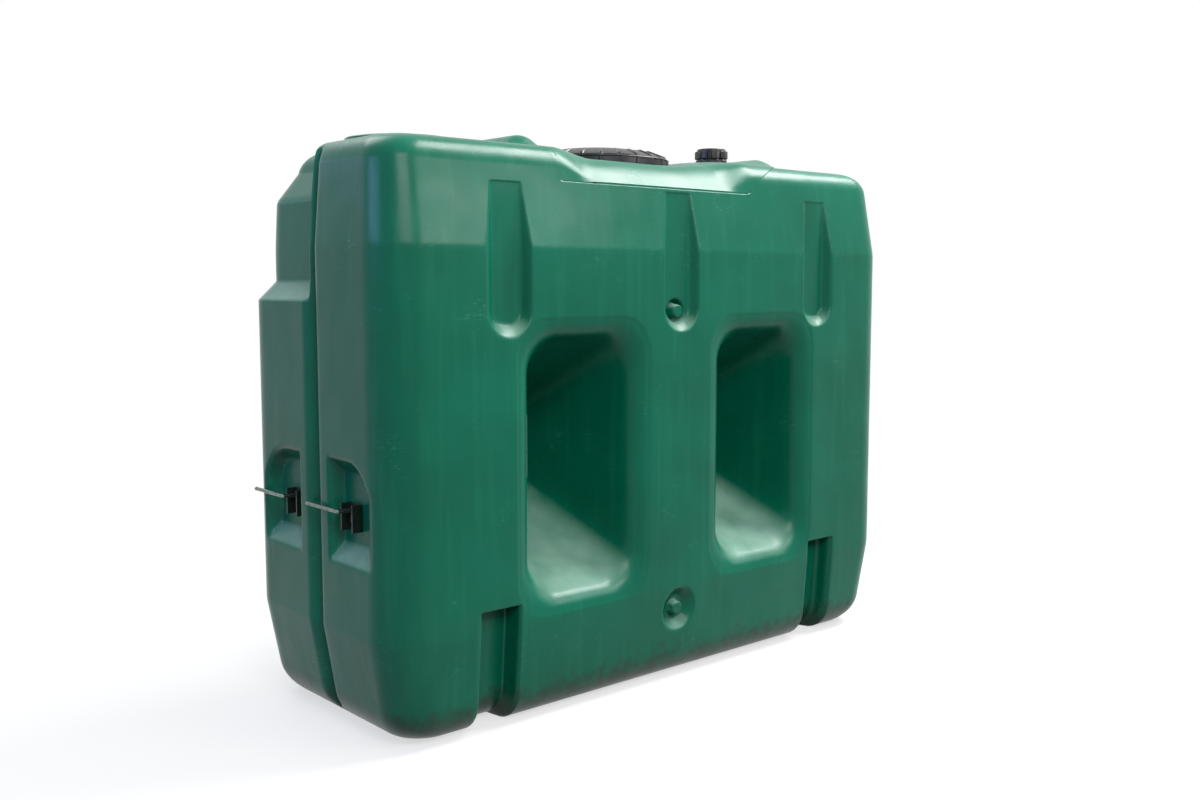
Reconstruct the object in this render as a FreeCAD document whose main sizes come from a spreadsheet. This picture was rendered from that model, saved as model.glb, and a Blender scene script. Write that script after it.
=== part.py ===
import FreeCAD, Part
import math
import os
import re

import Sketcher

# Rainwater tank moulded in green polyethylene, with two hourglass windows through it.
# Frame: X along the tank, Y from front to back, Z up, origin under the middle.

doc = FreeCAD.newDocument("RainwaterTank")
sheet = doc.addObject("Spreadsheet::Sheet", "Sizes")

SIZES = {
    # body form
    "body_length": 1720.0,
    "body_width": 660.0,
    "body_top": 1346.0,
    "wall": 7.0,
    "corner_round": 95.0,
    "corner_ease": 0.3,
    "low_kink": 245.0,
    "foot_lean_front": 20.0,
    "foot_lean_end": 42.0,
    "bottom_round": 80.0,
    "high_kink": 1107.0,
    "roof_lean": 9.0,
    "end_lean": 4.8,
    "roof_round": 65.0,
    "crown_rise": 18.0,
    "crown_run": 300.0,
    "ridge_half": 30.0,
    "ridge_round": 20.0,
    # lowered deck in the roof
    "deck_level": 1329.0,
    "deck_crease": 1268.0,
    "deck_crease_in": 24.0,
    "deck_setback": 156.0,
    "deck_left": -268.0,
    "deck_right": 310.0,
    "deck_end_low": 268.0,
    "deck_end_high": 308.0,
    "deck_draft": 78.0,
    "deck_ramp": 5.4,
    "deck_ramp_start": 150.0,
    "rim_x": -335.0,
    "rim_radius": 35.0,
    "rim_length": 270.0,
    # inlet boss on the left shoulder
    "boss_x": -613.0,
    "boss_radius": 132.0,
    "boss_top": 1363.0,
    # upper grooves
    "groove_pitch": 541.0,
    "groove_width": 122.0,
    "groove_depth": 21.8,
    "groove_foot": 903.0,
    "groove_head": 1245.0,
    "groove_draft": 17.0,
    # windows
    "window_x": 317.0,
    "window_width": 415.0,
    "window_low": 248.0,
    "window_high": 946.0,
    "window_corner": 92.0,
    "window_lip": 56.0,
    "throat_width": 160.0,
    "throat_height": 220.0,
    "throat_z": 600.0,
    "throat_corner": 50.0,
    # blind bosses
    "dimple_z": 189.0,
    "dimple_radius": 50.0,
    "dimple_depth": 20.0,
    "knob_radius": 17.0,
    "eye_z": 955.0,
    "eye_radius": 29.0,
    "eye_depth": 13.0,
    "eye_knob_radius": 16.0,
    # foot notches
    "notch_x": 572.0,
    "notch_width": 112.0,
    "notch_depth": 55.0,
    "notch_top": 289.0,
    "notch_slope": 15.0,
    # ends
    "end_zone": 102.0,
    "seam_width": 44.0,
    "seam_depth": 20.0,
    "seam_low": 60.0,
    "seam_high": 1300.0,
    "rebate_depth": 48.0,
    "rebate_low": 963.0,
    "rebate_slope": 67.0,
    "rebate_start": 14.0,
    "rebate_knee": 1203.0,
    "rebate_lean": 32.0,
    "pocket_inner": 66.0,
    "pocket_outer": 243.0,
    "pocket_low": 402.0,
    "pocket_high": 640.0,
    "pocket_depth": 36.0,
    "pocket_sill": 44.0,
    "pocket_head": 34.0,
    "pocket_draft": 12.0,
    # where the moulding is divided into nodes
    "base_height": 96.0,
    "roof_start": 1252.0,
    # manhole
    "neck_radius": 186.0,
    "neck_wall": 8.0,
    "neck_top": 1360.0,
    "flange_radius": 200.0,
    "flange_thick": 8.0,
    "lid_wall": 8.0,
    "lid_skirt": 30.0,
    "lid_plate": 6.0,
    "lid_dome": 10.0,
    "lid_ribs": 36.0,
    "lid_rib_width": 9.0,
    "lid_rib_depth": 3.0,
    "thread_clear": 0.6,
    "gasket_thick": 4.0,
    "gasket_clear": 0.4,
    # filler
    "filler_x": 450.0,
    "filler_radius": 39.0,
    "filler_wall": 5.0,
    "filler_rise": 26.7,
    "filler_foot_radius": 46.0,
    "filler_foot_thick": 21.0,
    "cap_radius": 48.0,
    "cap_height": 28.0,
    "cap_roof": 6.0,
    "cap_teeth": 10.0,
    "cap_tooth_width": 13.0,
    "cap_tooth_depth": 5.0,
    "cap_clear": 0.6,
    # linking bracket, bolt and rod
    "bracket_y": 130.0,
    "bracket_low": 475.0,
    "bracket_height": 62.0,
    "bracket_width": 52.0,
    "bracket_reach": 26.0,
    "bracket_plate": 4.0,
    "bolt_radius": 5.0,
    "bolt_head_radius": 10.0,
    "bolt_head_height": 7.0,
    "bolt_rise": 26.0,
    "rod_radius": 4.5,
    "rod_rise": 48.0,
    "rod_out": 43.0,
    "rod_run": 143.0,
}

for row, (alias, value) in enumerate(SIZES.items(), start=1):
    sheet.set(f"A{row}", alias.replace("_", " "))
    sheet.set(f"B{row}", str(value))
    sheet.setAlias(f"B{row}", alias)
doc.recompute()

WORD = re.compile(r"\b(" + "|".join(sorted(SIZES, key=len, reverse=True)) + r")\b")


def ref(text):
    """Write an expression in the sheet's own names."""
    return WORD.sub(r"Sizes.\1", str(text))


def bind(obj, **sizes):
    """Tie properties to expressions; a double underscore stands for a dot."""
    for prop, text in sizes.items():
        obj.setExpression(prop.replace("__", "."), ref(text))
    return obj


def at(obj, x="0", y="0", z="0", turn=None):
    """Place an object by expressions, with an optional fixed rotation."""
    if turn is not None:
        obj.Placement = FreeCAD.Placement(FreeCAD.Vector(), turn)
    return bind(obj, Placement__Base__x=x, Placement__Base__y=y, Placement__Base__z=z)


def box(name, x0, x1, y0, y1, z0, z1):
    obj = doc.addObject("Part::Box", name)
    bind(obj, Length=f"({x1}) - ({x0})", Width=f"({y1}) - ({y0})", Height=f"({z1}) - ({z0})")
    return at(obj, x0, y0, z0)


TO_Y = FreeCAD.Rotation(FreeCAD.Vector(1, 0, 0), -90)
TO_X = FreeCAD.Rotation(FreeCAD.Vector(0, 1, 0), 90)
TO_XZ = FreeCAD.Rotation(FreeCAD.Vector(1, 0, 0), 90)


def cylinder(name, radius, height, x="0", y="0", z="0", turn=None):
    obj = doc.addObject("Part::Cylinder", name)
    bind(obj, Radius=radius, Height=height)
    return at(obj, x, y, z, turn)


def cut(name, base, tool):
    obj = doc.addObject("Part::Cut", name)
    obj.Base, obj.Tool = base, tool
    return obj


def common(name, base, tool):
    obj = doc.addObject("Part::Common", name)
    obj.Base, obj.Tool = base, tool
    return obj


def fuse(name, pieces):
    obj = doc.addObject("Part::MultiFuse", name)
    obj.Shapes = pieces
    return obj


def mirror(name, source, normal):
    obj = doc.addObject("Part::Mirroring", name)
    obj.Source = source
    obj.Base = FreeCAD.Vector(0, 0, 0)
    obj.Normal = normal
    return obj


def group(name, pieces):
    obj = doc.addObject("Part::Compound", name)
    obj.Links = pieces
    return obj


def both_ways(name, pieces, normal):
    """A group of pieces together with its mirror image."""
    one = group(f"{name}_one", pieces)
    return group(name, [one, mirror(f"{name}_other", one, normal)])


def value(text):
    """Evaluate a size expression once, to draw a sketch near its solved shape."""
    sheet_cell = "D1"
    sheet.set(sheet_cell, "=" + str(text))
    sheet.recompute()
    return float(sheet.get(sheet_cell))


def rounded_rectangle(name, length, width, radius):
    """A rounded rectangle centred on the sketch's origin."""
    sketch = doc.addObject("Sketcher::SketchObject", name)
    hx, hy, r = value(length) / 2, value(width) / 2, value(radius)
    V = FreeCAD.Vector
    corners = ((hx - r, hy - r, 0), (r - hx, hy - r, 90), (r - hx, r - hy, 180), (hx - r, r - hy, 270))
    for cx, cy, start in corners:
        circle = Part.Circle(V(cx, cy, 0), V(0, 0, 1), r)
        a0, a1 = math.radians(start), math.radians(start + 90)
        sketch.addGeometry(Part.ArcOfCircle(circle, a0, a1))
    ends = [
        (V(hx - r, hy, 0), V(r - hx, hy, 0)),
        (V(-hx, hy - r, 0), V(-hx, r - hy, 0)),
        (V(r - hx, -hy, 0), V(hx - r, -hy, 0)),
        (V(hx, r - hy, 0), V(hx, hy - r, 0)),
    ]
    for p, q in ends:
        sketch.addGeometry(Part.LineSegment(p, q))
    rules = []
    for i in range(4):
        rules.append(Sketcher.Constraint("Tangent", i, 2, 4 + i, 1))
        rules.append(Sketcher.Constraint("Tangent", 4 + i, 2, (i + 1) % 4, 1))
    for i in (1, 2, 3):
        rules.append(Sketcher.Constraint("Equal", 0, i))
    rules.append(Sketcher.Constraint("Horizontal", 4))
    rules.append(Sketcher.Constraint("Vertical", 5))
    rules.append(Sketcher.Constraint("Symmetric", 0, 3, 2, 3, -1, 1))
    sketch.addConstraint(rules)
    for label, rule, text in (
        ("across", Sketcher.Constraint("DistanceX", 5, 1, 7, 1, 2 * hx), length),
        ("along", Sketcher.Constraint("DistanceY", 6, 1, 4, 1, 2 * hy), width),
        ("corner", Sketcher.Constraint("Radius", 0, r), radius),
    ):
        number = sketch.addConstraint(rule)
        sketch.renameConstraint(number, label)
        sketch.setExpression(f"Constraints.{label}", ref(text))
    return sketch


def loft(name, sections):
    obj = doc.addObject("Part::Loft", name)
    obj.Sections = sections
    obj.Solid = True
    obj.Ruled = True
    return obj


LEAN_Z = "(body_top - roof_round * (1 - sin(roof_lean)))"
LEAN_IN = f"(({LEAN_Z} - high_kink) * tan(roof_lean))"
END_IN = f"(({LEAN_Z} - high_kink) * tan(end_lean))"


def form_through(name, levels, inset):
    """A ruled form through levels of (end inset, front inset, height), closed by the ridge."""
    sections = []
    for n, (end, front, z) in enumerate(levels):
        corner = f"corner_round - corner_ease * ({front} - {inset}) - {inset}"
        length, width = f"body_length - 2 * ({end})", f"body_width - 2 * ({front})"
        sections.append(at(rounded_rectangle(f"{name}_level_{n}", length, width, corner), z=z))
    ridge = rounded_rectangle(
        f"{name}_ridge", "body_length - 2 * crown_run", "2 * ridge_half", "ridge_round"
    )
    sections.append(at(ridge, z=f"body_top + crown_rise - {inset}"))
    return loft(name, sections)


def shoulder_levels(inset, end_more):
    """The shoulder's arc from the leaning roof band to its top."""
    levels = []
    for share in (0, 0.35, 0.68, 1):
        angle = f"(roof_lean + (90 - roof_lean) * {share})"
        side = f"{LEAN_IN} + roof_round * cos(roof_lean) - (roof_round - {inset}) * cos({angle})"
        z = f"body_top - roof_round + (roof_round - {inset}) * sin({angle})"
        levels.append((f"{side} + {end_more}", side, z))
    return levels


def body_form(name, inset):
    """The tank's outer form, or the same form a given distance further in."""
    levels = []
    for angle in (90, 60, 30, 0):
        turn = f"(bottom_round - {inset})"
        side = f"(bottom_round - {turn} * cos({angle}))"
        z = f"bottom_round - {turn} * sin({angle})"
        levels.append((f"foot_lean_end + {side}", f"foot_lean_front + {side}", z))
    levels.append((inset, inset, "low_kink"))
    levels.append((inset, inset, "high_kink"))
    return form_through(name, levels + shoulder_levels(inset, f"({END_IN} - {LEAN_IN})"), inset)


def set_in_form(name, inset):
    """The form of the upper back quarter at an end: a sloped shelf, an upright face, a strong lean."""
    end = f"(rebate_depth + {inset})"
    more = f"(rebate_depth + ({LEAN_Z} - rebate_knee) * tan(rebate_lean) - {LEAN_IN})"
    wider = f"({inset} - 1)"
    levels = [
        (inset, wider, f"rebate_low - {inset}"),
        (end, wider, f"rebate_low + rebate_slope - {inset}"),
        (end, wider, "high_kink"),
        (end, f"(rebate_knee - high_kink) * tan(roof_lean) + {wider}", "rebate_knee"),
    ]
    levels += [(far, f"({side} - 1)", z) for far, side, z in shoulder_levels(inset, more)]
    return form_through(name, levels, inset)


def slot_outline(name, width, foot, head):
    """A groove's outline: flat head, straight sides and a half-round foot."""
    sketch = doc.addObject("Sketcher::SketchObject", name)
    V = FreeCAD.Vector
    r, low, high = value(width) / 2, value(foot), value(head)
    circle = Part.Circle(V(0, low + r, 0), V(0, 0, 1), r)
    sketch.addGeometry(Part.ArcOfCircle(circle, math.pi, 2 * math.pi))
    sketch.addGeometry(Part.LineSegment(V(r, low + r, 0), V(r, high, 0)))
    sketch.addGeometry(Part.LineSegment(V(r, high, 0), V(-r, high, 0)))
    sketch.addGeometry(Part.LineSegment(V(-r, high, 0), V(-r, low + r, 0)))
    sketch.addConstraint(
        [
            Sketcher.Constraint("Tangent", 0, 2, 1, 1),
            Sketcher.Constraint("Coincident", 1, 2, 2, 1),
            Sketcher.Constraint("Coincident", 2, 2, 3, 1),
            Sketcher.Constraint("Tangent", 3, 2, 0, 1),
            Sketcher.Constraint("Vertical", 1),
            Sketcher.Constraint("Horizontal", 2),
            Sketcher.Constraint("PointOnObject", 0, 3, -2),
        ]
    )
    for label, rule, text in (
        ("half", Sketcher.Constraint("Radius", 0, r), f"({width}) / 2"),
        ("centre", Sketcher.Constraint("DistanceY", -1, 1, 0, 3, low + r), f"{foot} + ({width}) / 2"),
        ("head", Sketcher.Constraint("DistanceY", -1, 1, 1, 2, high), head),
    ):
        number = sketch.addConstraint(rule)
        sketch.renameConstraint(number, label)
        sketch.setExpression(f"Constraints.{label}", ref(text))
    return sketch


FRONT = "body_width / 2"
END = "body_length / 2"


def groove(name, x, inset):
    """One upper groove as a drafted tool, standing proud of the front face."""
    sections = []
    planes = (("-groove_depth", "-groove_draft"), ("groove_depth", "groove_draft"))
    for n, (depth, draft) in enumerate(planes):
        deep = f"{depth} + {inset}" if n else depth
        sketch = slot_outline(
            f"{name}_outline_{n}",
            f"groove_width - 2 * ({draft}) + 2 * {inset}",
            f"groove_foot + 2 * ({draft}) - {inset}",
            f"groove_head + {inset}",
        )
        sketch.Placement = FreeCAD.Placement(FreeCAD.Vector(), TO_XZ)
        sections.append(at(sketch, x=x, y=f"{deep} - {FRONT}"))
    return loft(name, sections)


def window_half(name, x, inset):
    """The front half of one hourglass window, from its lip in to the throat."""
    middle = "(window_low + window_high) / 2"
    sections = []
    for n, angle in enumerate((0, 30, 55, 78)):
        lip_in = f"((window_lip - {inset}) * sin({angle}))"
        depth = f"(window_lip - (window_lip - {inset}) * cos({angle}))"
        sketch = rounded_rectangle(
            f"{name}_lip_{n}",
            f"window_width - 2 * {lip_in}",
            f"window_high - window_low - 2 * {lip_in}",
            f"window_corner - 0.8 * {lip_in}",
        )
        sketch.Placement = FreeCAD.Placement(FreeCAD.Vector(), TO_XZ)
        sections.append(at(sketch, x=x, y=f"{depth} - {FRONT}", z=middle))
    throat = rounded_rectangle(
        f"{name}_throat",
        f"throat_width + 2 * {inset}",
        f"throat_height + 2 * {inset}",
        f"throat_corner + {inset}",
    )
    throat.Placement = FreeCAD.Placement(FreeCAD.Vector(), TO_XZ)
    sections.append(at(throat, x=x, z="throat_z"))
    return loft(name, sections)


def wedge(name, low, high, depth, turn, x, y, z):
    """A drafted block: the rectangle low at its mouth and high at its floor."""
    obj = doc.addObject("Part::Wedge", name)
    bind(obj, Xmin=low[0], Xmax=low[1], Zmin=low[2], Zmax=low[3])
    bind(obj, X2min=high[0], X2max=high[1], Z2min=high[2], Z2max=high[3])
    bind(obj, Ymin="0", Ymax=depth)
    return at(obj, x, y, z, turn)


# Wedge axes: its depth runs along +X, its X along -Y, its Z stays up.
INTO_X = FreeCAD.Rotation(FreeCAD.Vector(0, 0, 1), -90)


def pocket(name, inset):
    """The recess in the front half of the left end, with sloped sill and head."""
    low = (
        f"pocket_inner - {inset}",
        f"pocket_outer + {inset}",
        f"pocket_low - {inset}",
        f"pocket_high + {inset}",
    )
    high = (
        f"pocket_inner + pocket_draft - {inset}",
        f"pocket_outer - pocket_draft + {inset}",
        f"pocket_low + pocket_sill - {inset}",
        f"pocket_high - pocket_head + {inset}",
    )
    return wedge(name, low, high, f"pocket_depth + {inset}", INTO_X, f"-{END}", "0", "0")


def rebate(name, inset):
    """What is taken off the upper back quarter of the left end, outside its set-in form."""
    reach = f"rebate_depth + corner_round + 40 - {END}"
    zone = box(f"{name}_zone", f"-{END} - 20", reach, f"rebate_start - {inset}", f"{FRONT} + 20",
               f"rebate_low - {inset}", "body_top + crown_rise + 20")
    return cut(name, zone, set_in_form(f"{name}_form", inset))


def notch(name, inset):
    """A foot notch on the front left, with a sloped head."""
    left = f"-notch_x - notch_width / 2 - {inset}"
    right = f"-notch_x + notch_width / 2 + {inset}"
    deep = f"notch_depth + {inset} - {FRONT}"
    shoulder = f"notch_top - notch_slope + {inset}"
    lower = box(f"{name}_lower", left, right, f"-{FRONT} - 30", deep, "-20", shoulder)
    head = wedge(
        f"{name}_head",
        ("0", f"notch_width + 2 * {inset}", shoulder, f"notch_top + {inset}"),
        ("0", f"notch_width + 2 * {inset}", shoulder, f"{shoulder} + 0.01"),
        f"notch_depth + {inset}",
        FreeCAD.Rotation(),
        left,
        f"-{FRONT}",
        "0",
    )
    return fuse(name, [lower, head])


def deck_profile(name, x, level, inset):
    """Across the tank: everything over the deck, with its rounded front and back edges."""
    sketch = doc.addObject("Sketcher::SketchObject", name)
    V = FreeCAD.Vector
    edge = f"(body_width / 2 - deck_crease_in - 0.9 * {inset})"
    crease = f"deck_crease - 0.4 * {inset}"
    flat = "(body_width / 2 - deck_setback)"
    top = f"{level} - {inset}"
    far = "(body_width / 2 + 40)"
    high = "body_top + crown_rise + 60"
    ye, zc, yf, zt, yo, zh = (value(t) for t in (edge, crease, flat, top, far, high))
    r = ((ye - yf) ** 2 + (zt - zc) ** 2) / (2 * (zt - zc))
    swing = math.asin(min(1.0, (ye - yf) / r))
    front = Part.Circle(V(-yf, zt - r, 0), V(0, 0, 1), r)
    back = Part.Circle(V(yf, zt - r, 0), V(0, 0, 1), r)
    up = math.pi / 2
    sketch.addGeometry(Part.ArcOfCircle(front, up, up + swing))
    sketch.addGeometry(Part.LineSegment(V(-yf, zt, 0), V(yf, zt, 0)))
    sketch.addGeometry(Part.ArcOfCircle(back, up - swing, up))
    rest = (V(ye, zc, 0), V(yo, zc, 0), V(yo, zh, 0), V(-yo, zh, 0), V(-yo, zc, 0), V(-ye, zc, 0))
    for p, q in zip(rest, rest[1:]):
        sketch.addGeometry(Part.LineSegment(p, q))
    C = Sketcher.Constraint
    sketch.addConstraint(
        [
            C("Tangent", 0, 1, 1, 1),
            C("Tangent", 1, 2, 2, 2),
            C("Coincident", 2, 1, 3, 1),
            C("Coincident", 3, 2, 4, 1),
            C("Coincident", 4, 2, 5, 1),
            C("Coincident", 5, 2, 6, 1),
            C("Coincident", 6, 2, 7, 1),
            C("Coincident", 7, 2, 0, 2),
            C("Horizontal", 3),
            C("Vertical", 4),
            C("Symmetric", 1, 1, 1, 2, -2),
            C("Symmetric", 3, 1, 7, 2, -2),
            C("Symmetric", 3, 2, 7, 1, -2),
            C("Symmetric", 4, 2, 5, 2, -2),
        ]
    )
    for label, rule, text in (
        ("crease_span", C("DistanceX", 7, 2, 3, 1, 2 * ye), f"2 * {edge}"),
        ("crease_rise", C("DistanceY", -1, 1, 3, 1, zc), crease),
        ("flat_span", C("DistanceX", 1, 1, 1, 2, 2 * yf), f"2 * {flat}"),
        ("level", C("DistanceY", -1, 1, 1, 1, zt), top),
        ("far_span", C("DistanceX", 7, 1, 3, 2, 2 * yo), f"2 * {far}"),
        ("far_rise", C("DistanceY", -1, 1, 4, 2, zh), high),
    ):
        number = sketch.addConstraint(rule)
        sketch.renameConstraint(number, label)
        sketch.setExpression(f"Constraints.{label}", ref(text))
    sketch.Placement = FreeCAD.Placement(V(), FreeCAD.Rotation(V(1, 1, 1), 120))
    return at(sketch, x=x)


def deck_tool(name, inset):
    """What is taken off the roof to leave the lowered deck and its ramp with a round end."""
    far_left = "deck_left - deck_draft - 40"
    far_right = "(deck_right + deck_end_high + 40)"
    rise = f"deck_level + ({far_right} - deck_ramp_start) * tan(deck_ramp)"
    above = loft(
        f"{name}_above",
        [
            deck_profile(f"{name}_profile_0", far_left, "deck_level", inset),
            deck_profile(f"{name}_profile_1", "deck_ramp_start", "deck_level", inset),
            deck_profile(f"{name}_profile_2", far_right, rise, inset),
        ],
    )
    low = "deck_crease - 20"
    high = "body_top + crown_rise + 40"
    far = f"{FRONT} + 30"
    plan = wedge(
        f"{name}_plan",
        (f"deck_left - {inset}", "deck_right", f"-({far})", far),
        (f"deck_left - deck_draft - {inset}", "deck_right", f"-({far})", far),
        f"{high} - ({low})",
        TO_XZ,
        "0", "0", low,
    )
    end = doc.addObject("Part::Cone", f"{name}_end")
    bind(end, Radius1=f"deck_end_low + {inset}", Radius2=f"deck_end_high + {inset}")
    bind(end, Height=f"{high} - ({low})")
    at(end, "deck_right", "0", low)
    return common(name, above, fuse(f"{name}_outline", [plan, end]))


BACK = FreeCAD.Vector(0, 1, 0)
SIDE = FreeCAD.Vector(1, 0, 0)
OUT_X = f"({END} + 50)"
OUT_Y = f"({FRONT} + 50)"
HIGH = "body_top + crown_rise + 100"
nodes = []


def node(name, obj):
    obj.Label = name
    nodes.append(obj)
    return obj


def part_of(name, source, x0, x1, y0, y1, z0, z1):
    return common(name, source, box(f"{name}_zone", x0, x1, y0, y1, z0, z1))


def whole_y(name, source, x0, x1, z0, z1):
    return part_of(name, source, x0, x1, f"-{OUT_Y}", OUT_Y, z0, z1)


def end_cuts(name, inset):
    """The parting groove and the set-in upper back quarter of the left end."""
    half = f"(seam_width / 2 + {inset})"
    slab = box(f"{name}_seam_slab", f"-{END} - 20", "0", f"-{half}", half,
               f"seam_low - {inset}", f"seam_high + {inset}")
    core = body_form(f"{name}_seam_core", f"(seam_depth + {inset})")
    return group(f"{name}_end_cuts", [cut(f"{name}_seam", slab, core), rebate(f"{name}_rebate", inset)])


def lower_half(name, form, ends, inset):
    """The left half of the body under the roof, with every recess."""
    result = whole_y(f"{name}_half", form, f"-{OUT_X}", "0", "-50", "roof_start")
    grooves = [groove(f"{name}_groove_{n}", f"{n - 1} * groove_pitch", inset) for n in range(2)]
    dimple = cylinder(f"{name}_dimple", f"dimple_radius + {inset}", f"dimple_depth + {inset} + 40",
                      "0", f"-{FRONT} - 40 + foot_lean_front / 3", "dimple_z", TO_Y)
    eye = cylinder(f"{name}_eye", f"eye_radius + {inset}", f"groove_depth + eye_depth + {inset}",
                   "0", f"-{FRONT}", "eye_z", TO_Y)
    if inset == "0":
        knob = cylinder(f"{name}_knob", "knob_radius", "dimple_depth + 20",
                        "0", f"-{FRONT} + foot_lean_front / 2", "dimple_z", TO_Y)
        dimple = cut(f"{name}_dimple_ring", dimple, knob)
        eye_knob = cylinder(f"{name}_eye_knob", "eye_knob_radius", "eye_depth + 20",
                            "0", f"-{FRONT} + groove_depth", "eye_z", TO_Y)
        eye = cut(f"{name}_eye_ring", eye, eye_knob)
    window = window_half(f"{name}_window", "-window_x", inset)
    # recesses that keep clear of each other are taken out together
    tools = [
        ends,
        both_ways(f"{name}_pockets", [pocket(f"{name}_pocket", inset)], BACK),
        both_ways(f"{name}_faces", grooves + [notch(f"{name}_notch", inset), dimple], BACK),
        both_ways(f"{name}_eyes", [eye], BACK),
        window,
        mirror(f"{name}_window_back", window, BACK),
    ]
    for n, tool in enumerate(tools):
        result = cut(f"{name}_half_step_{n}", result, tool)
    return result


def roof_form(name, form, ends, inset):
    """The roof from shoulder to shoulder, with its boss, rim, lowered deck and ramp."""
    result = whole_y(f"{name}_roof", form, f"-{OUT_X}", OUT_X, "roof_start", HIGH)
    both_ends = group(f"{name}_both_ends", [ends, mirror(f"{name}_right_end_cuts", ends, SIDE)])
    raised = [cut(f"{name}_roof_ends", result, both_ends)]
    raised.append(cylinder(f"{name}_boss", f"boss_radius - {inset}", f"boss_top - {inset} - body_top + 60",
                           "boss_x", "0", "body_top - 60"))
    if inset == "0":
        raised.append(cylinder(f"{name}_rim", "rim_radius", "rim_length",
                               "rim_x", "-rim_length / 2", "body_top", TO_Y))
    return cut(f"{name}_roof_decked", fuse(f"{name}_raised", raised), deck_tool(f"{name}_deck", inset))


outer_form = body_form("outer_form", "0")
inner_form = body_form("inner_form", "wall")
outer_ends = end_cuts("outer", "0")
inner_ends = end_cuts("inner", "wall")
half_shell = cut(
    "half_shell",
    lower_half("outer", outer_form, outer_ends, "0"),
    lower_half("inner", inner_form, inner_ends, "wall"),
)
roof_shell = cut(
    "roof_shell",
    roof_form("outer", outer_form, outer_ends, "0"),
    roof_form("inner", inner_form, inner_ends, "wall"),
)

# The moulding is divided at plain planes into the pieces a person would name.
# The body under the roof is the same on both sides, so the right half is mirrored.
MID_X = f"({END} - end_zone)"
WINDOW_IN = "(window_x - window_width / 2)"
WINDOW_OUT = "(window_x + window_width / 2)"
THROAT_LOW = "(throat_z - throat_height / 2)"
THROAT_HIGH = "(throat_z + throat_height / 2)"


def left_and_right(left_name, right_name, obj):
    node(left_name, obj)
    node(right_name, mirror(f"{right_name}_piece", obj, SIDE))


base_half = whole_y("base_half", half_shell, f"-{OUT_X}", "0", "-50", "base_height")
tray = whole_y("base_tray", base_half, f"-{OUT_X}", f"-{WINDOW_IN}", "-50", "base_height")
left_and_right("base_left", "base_right", tray)
floor_strip = whole_y("base_strip", base_half, f"-{WINDOW_IN}", "0", "-50", "base_height")
base_middle = fuse("base_middle_whole", [floor_strip, mirror("base_strip_right", floor_strip, SIDE)])
base_middle.Refine = True
node("base_middle", base_middle)
walls = whole_y("wall_band", half_shell, f"-{OUT_X}", "0", "base_height", "roof_start")
end_band = whole_y("end_band", walls, f"-{OUT_X}", f"-{MID_X}", "base_height", "roof_start")
for side, y0, y1 in (("front", f"-{OUT_Y}", "0"), ("back", "0", OUT_Y)):
    piece = part_of(f"end_{side}", end_band, f"-{OUT_X}", f"-{MID_X}", y0, y1, "base_height", "roof_start")
    left_and_right(f"left_end_{side}", f"right_end_{side}", piece)

half = part_of("front_band", walls, f"-{MID_X}", "0", f"-{OUT_Y}", "0", "base_height", "roof_start")
centre = part_of("centre_strip", half, f"-{WINDOW_IN}", "0", f"-{OUT_Y}", "0", "base_height", "roof_start")
middle = fuse("middle_wall", [centre, mirror("centre_strip_right", centre, SIDE)])
middle.Refine = True
node("front_middle_wall", middle)
node("back_middle_wall", mirror("back_middle_wall_piece", middle, BACK))
spans = {
    "lower_wall": (f"-{MID_X}", f"-{WINDOW_IN}", "base_height", "window_low"),
    "side_wall": (f"-{MID_X}", f"-{WINDOW_OUT}", "window_low", "window_high"),
    "upper_wall": (f"-{MID_X}", f"-{WINDOW_IN}", "window_high", "roof_start"),
}
for kind, (x0, x1, z0, z1) in spans.items():
    piece = part_of(f"wall_{kind}", half, x0, x1, f"-{OUT_Y}", "0", z0, z1)
    left_and_right(f"front_left_{kind}", f"front_right_{kind}", piece)
    behind = mirror(f"back_{kind}_piece", piece, BACK)
    left_and_right(f"back_left_{kind}", f"back_right_{kind}", behind)

column = whole_y("window_column", walls, f"-{WINDOW_OUT}", f"-{WINDOW_IN}", "window_low", "window_high")
window_spans = {
    "sill": (f"-{WINDOW_OUT}", f"-{WINDOW_IN}", "window_low", THROAT_LOW),
    "head": (f"-{WINDOW_OUT}", f"-{WINDOW_IN}", THROAT_HIGH, "window_high"),
    "outer_side": (f"-{WINDOW_OUT}", "-window_x", THROAT_LOW, THROAT_HIGH),
    "inner_side": ("-window_x", f"-{WINDOW_IN}", THROAT_LOW, THROAT_HIGH),
}
for kind, (x0, x1, z0, z1) in window_spans.items():
    piece = whole_y(f"window_{kind}", column, x0, x1, z0, z1)
    left_and_right(f"left_window_{kind}", f"right_window_{kind}", piece)

ROOF_LEFT = "(deck_left - deck_draft - rim_radius - 12)"
ROOF_TURN = "(filler_x - filler_foot_radius - 150)"
ROOF_RIGHT = "(deck_right + deck_end_high + 18)"
node("roof_left", whole_y("roof_left_piece", roof_shell, f"-{OUT_X}", ROOF_LEFT, "roof_start", HIGH))
deck_piece = whole_y("roof_deck_piece", roof_shell, ROOF_LEFT, ROOF_TURN, "roof_start", HIGH)
manhole = cylinder("manhole", "neck_radius - neck_wall", "200", "0", "0", "deck_level - 100")
node("roof_deck", cut("roof_deck_holed", deck_piece, manhole))
ramp_piece = whole_y("roof_ramp_piece", roof_shell, ROOF_TURN, ROOF_RIGHT, "roof_start", HIGH)
filler_hole = cylinder("filler_hole", "filler_radius - filler_wall", "300",
                       "filler_x", "0", "deck_level - 100")
node("roof_ramp", cut("roof_ramp_holed", ramp_piece, filler_hole))
node("roof_right", whole_y("roof_right_piece", roof_shell, ROOF_RIGHT, OUT_X, "roof_start", HIGH))


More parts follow.
